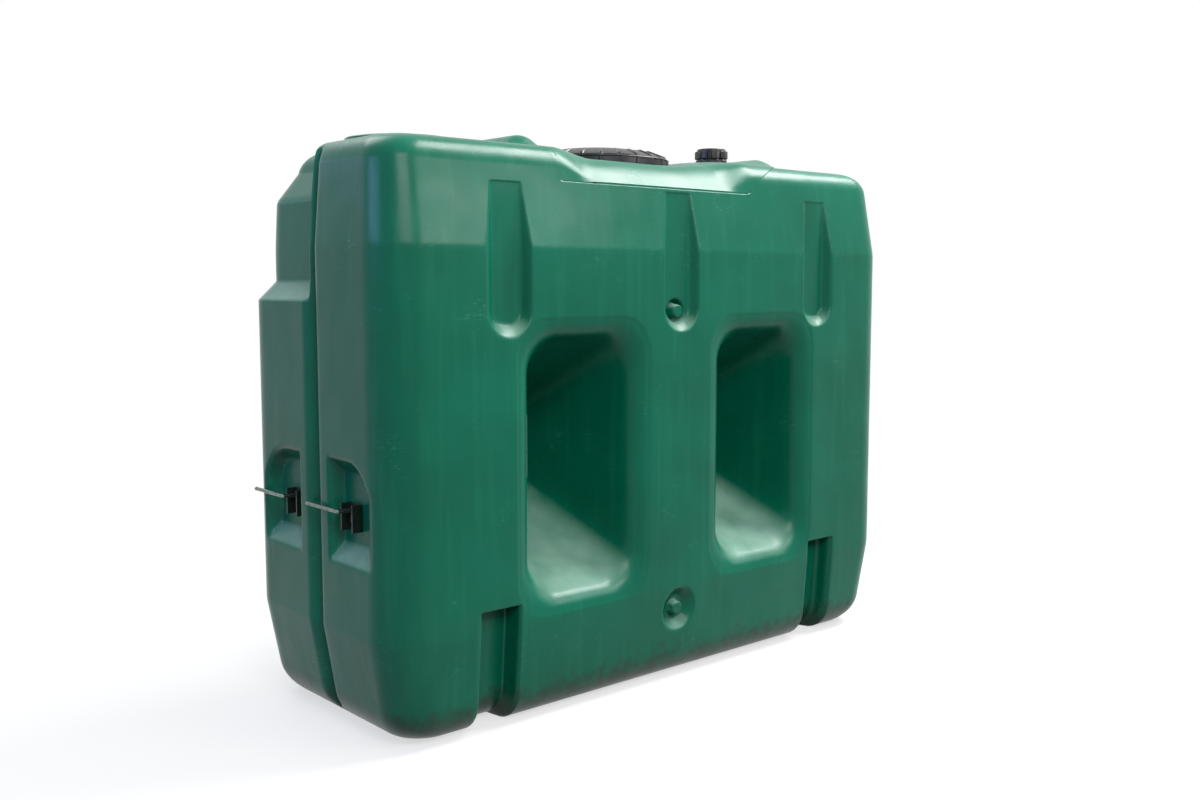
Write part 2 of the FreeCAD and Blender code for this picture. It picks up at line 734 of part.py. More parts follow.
def star(name, count, width, reach, x, z0, z1):
    """Bars through one axis, two rays each, for ribs and teeth round a circle."""
    bars = []
    for n in range(int(round(value(count))) // 2):
        turn = FreeCAD.Rotation(FreeCAD.Vector(0, 0, 1), 360.0 * n / int(round(value(count))))
        bar = doc.addObject("Part::Box", f"{name}_{n}")
        bind(bar, Length=f"2 * ({reach})", Width=width, Height=f"({z1}) - ({z0})")
        angle = f"(360 * {n} / {count})"
        half_w = f"({width}) / 2"
        at(
            bar,
            f"{x} - ({reach}) * cos({angle}) + {half_w} * sin({angle})",
            f"-({reach}) * sin({angle}) - {half_w} * cos({angle})",
            z0,
            turn,
        )
        bars.append(bar)
    return fuse(name, bars)


over_deck = doc.getObject("outer_deck_above")

# Manhole: a neck standing on the deck and a ribbed screw lid with its gasket.
neck = fuse(
    "neck_body",
    [
        cylinder("neck_tube", "neck_radius", "neck_top - deck_level + 12", "0", "0", "deck_level - 12"),
        cylinder("neck_flange", "flange_radius", "flange_thick + 12", "0", "0", "deck_level - 12"),
    ],
)
neck_bore = cylinder("neck_bore", "neck_radius - neck_wall", "neck_top - deck_level + 60",
                     "0", "0", "deck_level - 30")
node("manhole_neck", common("neck_seated", cut("neck_bored", neck, neck_bore), over_deck))

SEAL = "(neck_top + gasket_clear)"
PLATE = "(neck_top + gasket_clear + gasket_thick)"
LID_R = "(neck_radius + thread_clear + lid_wall)"
LID_LOW = f"({PLATE} + lid_plate - lid_skirt)"
LID_TOP = f"({PLATE} + lid_plate)"
ball = doc.addObject("Part::Sphere", "lid_ball")
BALL_R = f"(({LID_R} ^ 2 + lid_dome ^ 2) / (2 * lid_dome))"
bind(ball, Radius=BALL_R)
at(ball, "0", "0", f"{LID_TOP} + lid_dome - {BALL_R}")
drum = cylinder("lid_drum", LID_R, "lid_skirt + lid_dome + 1", "0", "0", LID_LOW)
crown = common("lid_crown", drum, ball)
ribs = common(
    "lid_ribs_round",
    star("lid_star", "lid_ribs", "lid_rib_width", f"{LID_R} + lid_rib_depth + 2", "0", LID_LOW, LID_TOP),
    cylinder("lid_rib_limit", f"{LID_R} + lid_rib_depth", "lid_skirt", "0", "0", LID_LOW),
)
lid = fuse("lid_solid", [crown, ribs])
lid_bore = cylinder("lid_bore", "neck_radius + thread_clear", f"{PLATE} - {LID_LOW} + 10",
                    "0", "0", f"{LID_LOW} - 10")
node("manhole_lid", cut("lid_hollow", lid, lid_bore))
ring = cylinder("gasket_disc", "neck_radius", "gasket_thick", "0", "0", SEAL)
ring_bore = cylinder("gasket_bore", "neck_radius - neck_wall", "gasket_thick + 10", "0", "0", f"{SEAL} - 5")
node("lid_gasket", cut("gasket_ring", ring, ring_bore))

# Filler: a short neck on the ramp and a castellated screw cap.
RAMP_Z = "(deck_level + (filler_x - deck_ramp_start) * tan(deck_ramp))"
FOOT_LOW = f"({RAMP_Z} - filler_foot_radius * tan(deck_ramp) - 2)"
FOOT_TOP = f"({RAMP_Z} + filler_foot_radius * tan(deck_ramp) + filler_foot_thick)"
FILL_TOP = f"({FOOT_TOP} + filler_rise)"
tube = cylinder("filler_tube", "filler_radius", f"{FILL_TOP} - {FOOT_LOW}", "filler_x", "0", FOOT_LOW)
foot = cylinder("filler_foot", "filler_foot_radius", f"{FOOT_TOP} - {FOOT_LOW}", "filler_x", "0", FOOT_LOW)
filler_bore = cylinder("filler_bore", "filler_radius - filler_wall", f"{FILL_TOP} - {FOOT_LOW} + 20",
                       "filler_x", "0", f"{FOOT_LOW} - 10")
filler = cut("filler_bored", fuse("filler_body", [tube, foot]), filler_bore)
node("filler_neck", common("filler_seated", filler, over_deck))

CAP_LOW = f"({FILL_TOP} + cap_clear + cap_roof - cap_height)"
cap_drum = cylinder("cap_drum", "cap_radius", "cap_height", "filler_x", "0", CAP_LOW)
cap_bore = cylinder("cap_bore", "filler_radius + cap_clear", "cap_height - cap_roof + 10",
                    "filler_x", "0", f"{CAP_LOW} - 10")
cap_keep = cylinder("cap_keep", "cap_radius - cap_tooth_depth", "cap_height + 40",
                    "filler_x", "0", f"{CAP_LOW} - 20")
cap_star = star("cap_star", "cap_teeth", "cap_tooth_width", "cap_radius + 10", "filler_x",
                f"{CAP_LOW} - 10", f"{CAP_LOW} + cap_height + 10")
cap_gaps = cut("cap_gaps", cap_star, cap_keep)
node("filler_cap", cut("cap_toothed", cut("cap_hollow", cap_drum, cap_bore), cap_gaps))

# Linking hardware in the two pockets of the left end: a channel bracket on the pocket's
# floor, its bolt, and a bent rod that stands out of the bracket and runs along the end.
FLOOR_X = "(pocket_depth - body_length / 2)"
for side, sign in (("front", "-"), ("back", "")):
    y = f"({sign}bracket_y)"
    bracket = box(f"bracket_{side}_block", FLOOR_X + " - bracket_reach", FLOOR_X,
                  f"{y} - bracket_width / 2", f"{y} + bracket_width / 2",
                  "bracket_low", "bracket_low + bracket_height")
    hollow = box(f"bracket_{side}_hollow", FLOOR_X + " - bracket_reach - 10", FLOOR_X + " - bracket_plate",
                 f"{y} - bracket_width / 2 + bracket_plate", f"{y} + bracket_width / 2 - bracket_plate",
                 "bracket_low - 10", "bracket_low + bracket_height + 10")
    channel = cut(f"bracket_{side}_channel", bracket, hollow)
    bolt_hole = cylinder(f"bracket_{side}_bolt_hole", "bolt_radius", "bracket_plate + 20",
                         f"{FLOOR_X} - bracket_plate - 10", y, "bracket_low + bolt_rise", TO_X)
    node(f"{side}_bracket", cut(f"bracket_{side}_drilled", channel, bolt_hole))
    shank = cylinder(f"bolt_{side}_shank", "bolt_radius", "bracket_plate", f"{FLOOR_X} - bracket_plate", y,
                     "bracket_low + bolt_rise", TO_X)
    head = doc.addObject("Part::Prism", f"bolt_{side}_head")
    bind(head, Circumradius="bolt_head_radius", Height="bolt_head_height")
    head.Polygon = 6
    at(head, f"{FLOOR_X} - bracket_plate - bolt_head_height", y, "bracket_low + bolt_rise", TO_X)
    node(f"{side}_bolt", fuse(f"bolt_{side}", [shank, head]))
    bend_x, rod_z = f"{FLOOR_X} - bracket_plate - rod_out", "bracket_low + rod_rise"
    stem = cylinder(f"rod_{side}_stem", "rod_radius", "rod_out", bend_x, y, rod_z, TO_X)
    bend = doc.addObject("Part::Sphere", f"rod_{side}_bend")
    at(bind(bend, Radius="rod_radius"), bend_x, y, rod_z)
    arm = cylinder(f"rod_{side}_arm", "rod_radius", "rod_run", bend_x, y, rod_z, TO_Y)
    node(f"{side}_rod", fuse(f"rod_{side}", [stem, bend, arm]))

sheet.clear("D1")
doc.recompute()
for obj in doc.Objects:
    if "Invalid" in obj.State or "Error" in obj.State:
        raise RuntimeError(f"{obj.Name}: {obj.getStatusString()}")
os.makedirs("parts", exist_ok=True)
for obj in nodes:
    if obj.Shape.isNull() or not obj.Shape.isValid():
        raise RuntimeError(f"{obj.Label} has no sound shape")
    print(obj.Label, len(obj.Shape.Solids), round(obj.Shape.Volume), len(obj.Shape.Faces))
    obj.Shape.exportStep(f"parts/{obj.Label}.step")
print(len(nodes))
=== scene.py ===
import math

import bpy
import numpy as np
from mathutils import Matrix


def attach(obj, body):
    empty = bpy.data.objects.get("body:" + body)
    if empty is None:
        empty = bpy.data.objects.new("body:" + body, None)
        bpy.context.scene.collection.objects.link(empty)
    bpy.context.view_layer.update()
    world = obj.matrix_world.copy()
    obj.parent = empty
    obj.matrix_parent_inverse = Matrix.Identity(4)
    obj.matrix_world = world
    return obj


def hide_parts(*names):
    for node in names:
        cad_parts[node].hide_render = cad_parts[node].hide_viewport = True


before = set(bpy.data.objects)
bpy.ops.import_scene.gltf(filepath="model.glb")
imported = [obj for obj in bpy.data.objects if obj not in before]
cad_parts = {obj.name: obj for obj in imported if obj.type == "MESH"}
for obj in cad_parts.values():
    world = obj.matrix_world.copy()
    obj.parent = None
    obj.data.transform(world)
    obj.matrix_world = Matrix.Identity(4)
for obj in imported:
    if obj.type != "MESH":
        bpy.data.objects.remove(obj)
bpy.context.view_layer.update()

# Tank moulding: one hollow piece of green polyethylene, from a mould that parts along the middle of the ends,
# the roof and the underside. Its skin is drawn as the two mould halves, each a fine grid: columns run round half
# the plan, rows from the underside up the walls and over the shoulder to the ridge. Sizes are in millimetres.
millimetre = 0.001
half_length, half_width = 860.0, 330.0
corner_round, corner_ease = 95.0, 0.3
low_kink, foot_lean_front, foot_lean_end, bottom_round = 245.0, 20.0, 42.0, 80.0
high_kink, front_lean, end_lean = 1107.0, math.radians(9.0), math.radians(4.8)
low_kink_round, high_kink_round = 1.5, 1.0
roof_round, shoulder_level, crown_turn = 65.0, 1345.5, math.radians(8.0)
arc_start = shoulder_level - roof_round * (1.0 - math.sin(front_lean))


def soft_min(a, b, k):
    """The lower of two heights, rounded over where they cross within k of each other."""
    h = np.clip(0.5 + 0.5 * (b - a) / k, 0.0, 1.0)
    return b + (a - b) * h - k * h * (1.0 - h)


def soft_max(a, b, k):
    """The higher of two heights, rounded in the same way."""
    return -soft_min(-a, -b, k)


def wall_inset(z, foot_lean, roof_lean):
    """How far a wall stands in from the plan at height z: the foot leans in below, the roof band above."""
    foot = soft_max(foot_lean * (1.0 - z / low_kink), 0.0, low_kink_round)
    head = soft_max((z - high_kink) * math.tan(roof_lean), 0.0, high_kink_round)
    return foot + head


# Upright grooves: three flat-floored U shapes that the mould presses into each long face to stiffen it. They are
# open into the roof band at the top, and the right wall of each is steeper than the left one.
groove_pitch, groove_half, groove_depth, groove_foot, groove_head = 541.0, 61.0, 25.0, 903.0, 1254.0
steep_left, steep_right, steep_foot, steep_head = 1.0, 1.7, 0.8, 9.0
groove_round, groove_edge_round = 3.0, 2.5


def groove(x, z):
    """Depth of a groove, x being the distance to the right of its middle."""
    fall = np.minimum(z - (groove_foot + groove_half), 0.0)
    reach = np.hypot(x, fall) + 1e-6
    down = np.clip(-fall / reach, 0.0, 1.0) ** 2
    steep = np.where(x > 0.0, steep_right, steep_left) * (1.0 - down) + steep_foot * down
    wall = soft_min(steep * (groove_half - reach), groove_depth, groove_round)
    return np.minimum(wall, steep_head * (groove_head - z))


# Blind bosses: two moulded-in fittings on the middle of each long face, never opened. The lower one is a knob in
# a round funnel, the upper one a longer knob in a round hole at the foot of the middle groove.
# Each is given by its level, its radius at the mouth and the floor, its depth, and its knob's radius and rise.
low_boss = (187.0, 58.0, 31.0, 25.0, 18.0, 19.0)
high_boss = (955.0, 31.0, 27.0, 22.0, 17.0, 33.0)
boss_round, knob_draft = 3.0, 3.5


def smooth(share):
    """A share held between 0 and 1 and eased at both ends."""
    share = np.clip(share, 0.0, 1.0)
    return share * share * (3.0 - 2.0 * share)


def blind_boss(x, z, level, mouth, floor, depth, knob, rise):
    reach = np.hypot(x, z - level)
    funnel = soft_min(depth * (mouth - reach) / (mouth - floor), depth, boss_round)
    stud = rise * smooth((knob + boss_round - reach) / knob_draft)
    return soft_max(funnel, 0.0, boss_round) - stud


# Windows: two hourglass openings moulded right through the tank. Each has a thin step at its outline, a rounded
# lip, drafted walls, a sloping sill and head, and a throat at the parting plane where the two halves meet.
window_x, window_level, window_half, window_half_high = 317.0, 597.0, 207.5, 349.0
window_corner, window_lip, step_depth, step_run = 92.0, 56.0, 1.6, 4.0
throat_level, throat_corner, halvings = 600.0, 50.0, 26
side_turn, sill_turn = math.radians(75.1), math.radians(59.4)


def window_section(x, z, depth):
    """Distance to the window's outline at a depth, below zero inside it."""
    def drawn_in(turn):
        arc_end = window_lip * (1.0 - math.cos(turn))
        lip_rest = window_lip - np.minimum(depth, arc_end)
        on_arc = np.sqrt(np.maximum(window_lip ** 2 - lip_rest ** 2, 0.0))
        return on_arc + np.maximum(depth - arc_end, 0.0) / math.tan(turn)

    share = depth / half_width
    corner = window_corner + (throat_corner - window_corner) * share
    level = window_level + (throat_level - window_level) * share
    dx = np.abs(x) - (window_half - drawn_in(side_turn)) + corner
    dz = np.abs(z - level) - (window_half_high - drawn_in(sill_turn)) + corner
    outside = np.hypot(np.maximum(dx, 0.0), np.maximum(dz, 0.0))
    return outside + np.minimum(np.maximum(dx, dz), 0.0) - corner


def window(x, z):
    """Depth of the window's wall under each point of the face, below zero outside the window, and the distance
    to the throat's edge. The depth is found by halving."""
    low, high = np.zeros_like(x), np.full_like(x, half_width)
    for _ in range(halvings):
        middle = 0.5 * (low + high)
        inside = window_section(x, z, middle) < 0.0
        low, high = np.where(inside, middle, low), np.where(inside, high, middle)
    edge = -window_section(x, z, np.zeros_like(x))
    wall = np.minimum(low + step_depth * np.clip(edge / step_run, 0.0, 1.0), half_width)
    throat = window_section(x, z, np.full_like(x, half_width))
    return np.where(edge > 0.0, wall, -1.0), throat


# Foot notches: four upright rebates moulded into the long faces near the corners. Each has a flat floor and a
# flat head, and is open at the ground.
notch_x, notch_half, notch_depth, notch_top = 572.0, 56.0, 55.0, 289.0
notch_steep, notch_corner, notch_round = 11.0, 8.0, 6.0


def notch(x, z):
    wall = notch_steep * (notch_half - np.abs(np.abs(x) - notch_x))
    head = notch_steep * (notch_top - z)
    return np.maximum(soft_min(soft_min(wall, head, notch_corner), notch_depth, notch_round), 0.0)


# Ends: the mould's parting line runs up the middle in a valley with rounded shoulders. On each side of it is a
# shallow arched pocket for the linking irons. At the back the upper quarter is set in over a sloping shelf, also
# round the corner.
pocket_near, pocket_far, pocket_low, pocket_high, pocket_depth = 66.0, 243.0, 402.0, 640.0, 36.0
pocket_sill, pocket_head, pocket_draft, pocket_arch = 44.0, 34.0, 12.0, 105.0
pocket_foot_round, pocket_side_round, pocket_floor_round, pocket_edge_round = 14.0, 12.0, 5.0, 3.0
seam_round, seam_depth, seam_floor_round, seam_edge_round = 42.0, 24.0, 4.0, 1.5
slit_half, slit_depth, slit_draft = 4.0, 9.0, 2.0
seam_low, seam_high, seam_fade = 20.0, 1338.0, 40.0
set_in_levels, set_in_depth, set_in_top = (985.0, 1030.0, 1220.0, 1291.0), 48.0, 87.0
set_in_start, set_in_blend = 14.0, 16.0


def pocket(y, z):
    steep, easy = pocket_depth / pocket_draft, pocket_depth / pocket_head
    past_y = np.maximum(y - (pocket_far - pocket_arch), 0.0)
    past_z = np.maximum(z - (pocket_high - pocket_arch), 0.0)
    reach = np.hypot(past_y, past_z) + 1e-6
    arch = (steep * (past_y / reach) ** 2 + easy * (past_z / reach) ** 2) * (pocket_arch - reach)
    arch = np.where(reach < 0.01, steep * pocket_arch, arch)
    sill = pocket_depth / pocket_sill * (z - pocket_low)
    foot = soft_min(steep * (y - pocket_near), sill, pocket_foot_round)
    return soft_min(soft_min(arch, foot, pocket_side_round), pocket_depth, pocket_floor_round)


def seam(y, z):
    into_round = np.clip(seam_round - y, 0.0, seam_round)
    shoulder = seam_round - np.sqrt(seam_round ** 2 - into_round ** 2)
    slit = slit_depth * np.clip((slit_half - y) / slit_draft, 0.0, 1.0)
    fade = smooth(np.minimum(z - seam_low, seam_high - z) / seam_fade)
    return (soft_min(shoulder, seam_depth, seam_floor_round) + slit) * fade


def set_in(z):
    """How far the back's upper quarter stands in from the plain end: a shelf, an upright, then a lean."""
    low, full, knee, top = set_in_levels
    at_knee = set_in_depth - (knee - high_kink) * math.tan(end_lean)
    return np.interp(z, (low, full, high_kink, knee, top),
                     (0.0, set_in_depth, set_in_depth, at_knee, set_in_top))


# Roof: the front and back shoulders run over a low crown. A deck round the manhole is let into it and rises as a
# ramp to the filler, until it stands a little above the crown and ends round. A sloping strip falls from it to a
# crease in the roof band, and on the left it sweeps up to the crown over a low rim.
deck_level, deck_crease, deck_crease_in = 1328.0, 1262.0, 24.6
deck_half = half_width - deck_crease_in
strip_steep, strip_round = 1.25, 50.0
deck_left, sweep_run, sweep_lag, sweep_turn = -390.0, 130.0, 58.0, 110.0
deck_right, end_stand, end_stand_run = 262.0, 13.0, 60.0
deck_lip, lip_start, lip_run = 3.0, 90.0, 50.0
ramp_reach, ramp_rise, ramp_start = (205.0, 262.0, 438.0, 700.0), (0.0, 17.0, 41.0, 77.0), 160.0
ramp_fall, ramp_flat, ramp_bend = 0.7, 130.0, 150.0
cut_start, cut_end, cut_blend, cut_under, sheet_lift = -370.0, 310.0, 130.0, 6.0, 0.3
rim_x, rim_half, rim_fall, rim_from, rim_top, rim_round = -350.0, 70.0, 42.0, 1300.0, 1384.0, 12.0
rim_flat, rim_end, rim_end_fall = 110.0, 70.0, 60.0


def crown(y):
    """Height of the roof at a distance y from the ridge, between the ends."""
    arc_middle = half_width - roof_round * math.cos(front_lean) - math.tan(front_lean) * (arc_start - high_kink)
    arc_edge = roof_round * math.sin(crown_turn)
    run = arc_middle + arc_edge
    away = np.maximum(run - y, 0.0)
    slope = math.tan(crown_turn) * (away - away ** 2 / (2.0 * run))
    on_arc = np.sqrt(np.maximum(roof_round ** 2 - np.maximum(y - arc_middle, arc_edge) ** 2, 0.0))
    face_y = arc_middle + roof_round * math.cos(front_lean)
    on_face = arc_start - (y - face_y) / math.tan(front_lean)
    return np.where(y > face_y, on_face, shoulder_level - roof_round + on_arc + slope)


def rim(x, y):
    """The low mound that carries the deck's left edge over the crown."""
    across = np.abs(x - rim_x) / rim_half
    along = np.maximum((np.abs(y) - rim_flat) / rim_end, 0.0)
    return rim_top - rim_fall * across ** 2 - rim_end_fall * along ** 2


def deck(x, y):
    """Height of the deck: floor and ramp, the sloping strip along its outline and the sweep up on its left.
    The strip's foot lies on the body's face, and at the round end it stands a little above the crown."""
    beyond = np.maximum(x - deck_right, 0.0)
    reach = np.hypot(beyond, y)
    foot_y = np.where(beyond > 0.0, deck_half * y / np.maximum(reach, 1.0), deck_half)
    lip = deck_lip * smooth((x - deck_left - lip_start) / lip_run)
    foot = crown(foot_y) + lip + end_stand * smooth((deck_half - foot_y) / end_stand_run)
    ramp = np.interp(np.hypot(x, y), ramp_reach, ramp_rise) * smooth(x / ramp_start)
    ramp = ramp * (1.0 - ramp_fall * smooth((y - ramp_flat) / ramp_bend))
    floor = soft_min(foot + strip_steep * (deck_half - reach), deck_level + ramp, strip_round)
    raised = np.maximum(floor, crown(y) + deck_lip)
    floor = floor + (raised - floor) * smooth((x - cut_end + cut_blend) / cut_blend)
    over_rim = soft_max(crown(y), rim(x, y), rim_round) + sheet_lift
    sweep = smooth((x - deck_left - sweep_lag * smooth((deck_half - y) / sweep_turn)) / sweep_run)
    return over_rim + (floor - over_rim) * sweep


# Mould halves: front and back skin of the moulding, with all of the above pressed in, and open at the throats.
# Grid lines stand closer where an edge crosses them: each stretch is from, to and step. Within "upright" of the
# middle the long face's columns stand straight, and within "spine_upright" they run straight over the roof.
grid_step, bottom_rows, arc_rows, corner_columns, crown_rows, under_rows = 9.0, 10, 13, 15, 29, 6
row_stretches = [
    (125, 242, 4.5), (242, 254, 3.0), (280, 292, 2.5), (395, 455, 6.0), (480, 500, 4.0), (560, 650, 6.0),
    (700, 720, 4.0), (860, 895, 5.0), (895, 985, 3.2), (985, 1036, 5.0), (1098, 1116, 3.0),
    (1195, 1212, 4.0), (1225, 1246, 5.0), (1246, 1260, 2.0), (1260, 1292, 2.5)]
end_run, end_stretches = 235.0, [(0, 10, 2.0), (10, 36, 3.5), (36, 84, 5.0), (135, 235, 7.0)]
face_run, face_stretches = 765.0, [
    (0, 66, 3.0), (108, 116, 4.0), (116, 168, 6.0), (232, 242, 4.0), (252, 312, 4.0), (392, 402, 4.0),
    (466, 478, 5.0), (478, 500, 3.0), (500, 512, 5.0), (512, 528, 3.0), (580, 604, 3.0), (620, 634, 3.0)]
upright_low, upright_high, upright_level, upright_change = 640.0, 608.0, 900.0, 60.0
spine_upright, hip_round, probe = 440.0, 50.0, 0.5


def grid_lines(start, end, step, fine):
    """Lines from start to end, step apart, and closer in each stretch (low, high, step) of fine."""
    marks = [start]
    while marks[-1] < end - 0.01:
        gaps = [gap for low, high, gap in fine if low <= marks[-1] < high]
        marks.append(marks[-1] + min(gaps + [step]))
    marks = np.array(marks)
    return start + (marks - start) * (end - start) / (marks[-1] - start)


def grid_quads(rows, columns):
    """Faces of a grid of points that are numbered row by row."""
    number = np.arange(rows * columns).reshape(rows, columns)
    corners = number[:-1, :-1], number[:-1, 1:], number[1:, 1:], number[1:, :-1]
    return np.stack(corners, axis=-1).reshape(-1, 4)


def half_skin(side):
    """Corner points and faces of one mould half: side -1 is the front half, +1 the back half."""
    # Rows: height and inset of each, for the rounded bottom edge, the walls and the shoulder's arc.
    turn = np.radians(np.linspace(0.0, 90.0, bottom_rows))[:-1]
    bottom_z, bottom_in = bottom_round * (1.0 - np.cos(turn)), bottom_round * (1.0 - np.sin(turn))
    wall_z = grid_lines(bottom_round, arc_start, grid_step, row_stretches)
    arc = np.linspace(front_lean, math.radians(90.0) - crown_turn, arc_rows)[1:]
    z = np.concatenate([bottom_z, wall_z, shoulder_level - roof_round * (1.0 - np.sin(arc))])
    arc_in = roof_round * (math.cos(front_lean) - np.cos(arc))
    insets = []
    for leans in ((foot_lean_front, front_lean), (foot_lean_end, end_lean)):
        under = wall_inset(bottom_z, *leans) + bottom_in
        wall = wall_inset(wall_z, *leans)
        insets.append(np.concatenate([under, wall, wall[-1] + arc_in])[:, None])
    front_in, end_in = insets
    half_x, half_y = half_length - end_in, half_width - front_in
    corner = corner_round - corner_ease * front_in
    quarter = set_in(z)[:, None] if side > 0 else 0.0 * half_x

    # Columns: half the left end, the corner, the long face, the other corner, half the right end.
    share = (grid_lines(0.0, end_run, grid_step, end_stretches)[:-1] / end_run)[None, :]
    bend = np.radians(np.linspace(0.0, 90.0, corner_columns))[None, :-1]
    face = grid_lines(0.0, face_run, grid_step, face_stretches)
    face = np.concatenate([-face[:0:-1], face])[None, :]
    change = np.clip((z[:, None] - upright_level) / upright_change, 0.0, 1.0)
    upright = upright_low + (upright_high - upright_low) * change
    beyond = np.maximum(np.abs(face) - upright, 0.0) / (face_run - upright)
    spread = np.sign(face) * (upright + beyond * (half_x - quarter - corner - upright))
    face_x = np.where(np.abs(face) <= upright, face, spread)
    end_y = share * (half_y - corner)
    end_x = -half_x + quarter * smooth((end_y - set_in_start) / set_in_blend)
    corner_x = -(half_x - quarter - corner) - corner * np.cos(bend)
    corner_y = half_y - corner + corner * np.sin(bend)
    x = np.concatenate([end_x, corner_x, face_x, -corner_x[:, ::-1], -end_x[:, ::-1]], axis=1)
    y = np.concatenate([end_y, corner_y, half_y + 0.0 * face, corner_y[:, ::-1], end_y[:, ::-1]], axis=1)
    z = np.repeat(z[:, None], x.shape[1], axis=1)
    first = share.shape[1] + bend.shape[1]
    last = first + face.shape[1]

    # The long face is pushed in by grooves, windows, notches and blind bosses.
    fx, fz = x[:, first:last], z[:, first:last]
    depth = half_width - y[:, first:last]
    for middle in (-groove_pitch, 0.0, groove_pitch):
        depth = soft_max(depth, groove(fx - middle, fz), groove_edge_round)
    depth = depth + notch(fx, fz)
    for boss in (high_boss, low_boss):
        depth = depth + blind_boss(fx, fz, *boss)
    window_depth, throat = window(np.abs(fx) - window_x, fz)
    depth = np.where(window_depth > 0.0, np.maximum(depth, window_depth), depth)
    y[:, first:last] = half_width - depth
    gap = np.full(x.shape, 1.0)
    gap[:, first:last] = throat

    # The ends are pushed in by the pockets and the parting groove.
    into = half_length - np.abs(x)
    at_end = np.ones(x.shape[1], bool)
    at_end[first:last] = False
    pushed = soft_max(into, pocket(y, z), pocket_edge_round)
    pushed = soft_max(pushed, into + seam(y, z), seam_edge_round)
    x = np.where(at_end[None, :], np.sign(x) * (half_length - pushed), x)

    # Crown rows run in from the shoulder to the ridge, underside rows from the bottom edge to the middle.
    def inward(row, shares):
        edge_x, edge_y, hand = x[row], y[row], np.sign(x[row])
        row_x, row_y, row_corner = half_x[row, 0], half_y[row, 0], corner[row, 0]
        squeeze = (row_x - row_y - spine_upright) / (row_x - row_corner - spine_upright)
        squeezed = hand * (spine_upright + (np.abs(edge_x) - spine_upright) * squeeze)
        from_face = np.where(np.abs(edge_x) <= spine_upright, edge_x, squeezed)
        from_end = hand * (row_x - row_y * np.clip(edge_y / row_y, 0.0, 1.0))
        to = np.where(at_end, from_end, from_face)
        return edge_x + (to - edge_x) * shares, edge_y * (1.0 - shares)

    crown_x, crown_y = inward(-1, np.linspace(0.0, 1.0, crown_rows)[1:, None])
    run = half_y[-1, 0]
    step = np.clip((crown_y - set_in_start) / set_in_blend, 0.0, 1.0) * quarter[-1, 0]
    away = soft_min(run - crown_y, half_x[-1, 0] - step - np.abs(crown_x), hip_round)
    away = np.clip(away, 0.0, run)
    crown_z = z[-1, 0] + math.tan(crown_turn) * (away - away ** 2 / (2.0 * run))
    under_x, under_y = inward(0, np.linspace(1.0, 0.0, under_rows)[:-1, None])
    x = np.concatenate([under_x, x, crown_x])
    y = np.concatenate([under_y, y, crown_y])
    z = np.concatenate([0.0 * under_x, z, crown_z])
    gap = np.concatenate([0.0 * under_x + 1.0, gap, 0.0 * crown_x + 1.0])

    # The rim stands up on the crown, and room is made for the deck wherever it lies lower than the shoulder.
    z = np.where(z > rim_from, soft_max(z, rim(x, y), rim_round), z)
    in_deck = np.hypot(np.maximum(x - deck_right, 0.0), y) < deck_half
    cut = in_deck & (z > deck_crease) & (x > cut_start) & (x < cut_end)
    z = np.where(cut, np.minimum(z, deck(x, y) - cut_under), z)

    # Faces inside a throat are left out, and the points along its edge are drawn out on to it.
    inside = gap < 0.0
    wx, full = np.abs(x) - window_x, np.full_like(x, half_width)
    gx = (window_section(wx + probe, z, full) - window_section(wx - probe, z, full)) / (2.0 * probe)
    gz = (window_section(wx, z + probe, full) - window_section(wx, z - probe, full)) / (2.0 * probe)
    x = np.where(inside, x - np.sign(x) * gap * gx, x)
    z = np.where(inside, z - gap * gz, z)
    y = np.where(inside, 0.0, y)
    quads = grid_quads(*x.shape)
    quads = quads[~inside.reshape(-1)[quads].all(axis=1)]
    if side > 0:
        quads = quads[:, ::-1]
    used = np.unique(quads)
    renumbered = np.zeros(x.size, int)
    renumbered[used] = np.arange(len(used))
    points = np.stack([x, side * y, z], axis=-1).reshape(-1, 3)[used] * millimetre
    return points, renumbered[quads]


# Polyethylene, moulded hollow in one piece: a deep green that is coloured through, with a satin skin. The
# eye sees slow clouds from uneven cooling, faint upright streaks, pale scuffs where it was dragged, a fine peel
# from the mould, soil splashed along the bottom edge, and pale dust on the sills, which is also a painted sheen
# of light on the faces that look up.


def linear(code):
    """An sRGB hex colour as linear red, green, blue and alpha."""
    parts = [int(code[i:i + 2], 16) / 255.0 for i in (1, 3, 5)]
    return [c / 12.92 if c <= 0.04045 else ((c + 0.055) / 1.055) ** 2.4 for c in parts] + [1.0]


def add_node(tree, kind, settings=None, links=None):
    """Adds a node, sets its options and sockets, and links sockets of other nodes into it."""
    node = tree.nodes.new(kind)
    for name, value in (settings or {}).items():
        if name == "stops":
            stops = node.color_ramp.elements
            while len(stops) < len(value):
                stops.new(1.0)
            for stop, (position, colour) in zip(stops, value):
                stop.position, stop.color = position, colour
        elif isinstance(name, str) and hasattr(node, name):
            setattr(node, name, value)
        else:
            node.inputs[name].default_value = value
    for name, socket in (links or {}).items():
        tree.links.new(socket, node.inputs[name])
    return node


def empty_material(name):
    """A new material and its node tree, with nothing in it yet."""
    material = bpy.data.materials.new(name)
    material.use_nodes = True
    material.node_tree.nodes.clear()
    return material, material.node_tree


polyethylene, tree = empty_material("green_polyethylene_moulded")
place = add_node(tree, "ShaderNodeTexCoord").outputs["Object"]
level = add_node(tree, "ShaderNodeSeparateXYZ", None, {"Vector": place}).outputs["Z"]
# Clouds about 300 mm across: scale is 1 / 0.3 m.
cloud = add_node(tree, "ShaderNodeTexNoise", {"Scale": 3.3, "Detail": 3.0, "Roughness": 0.55}, {"Vector": place})
green = add_node(tree, "ShaderNodeValToRGB",
                 {"stops": [(0.30, linear("#005F48")), (0.70, linear("#006B53"))]},
                 {"Fac": cloud.outputs["Fac"]})
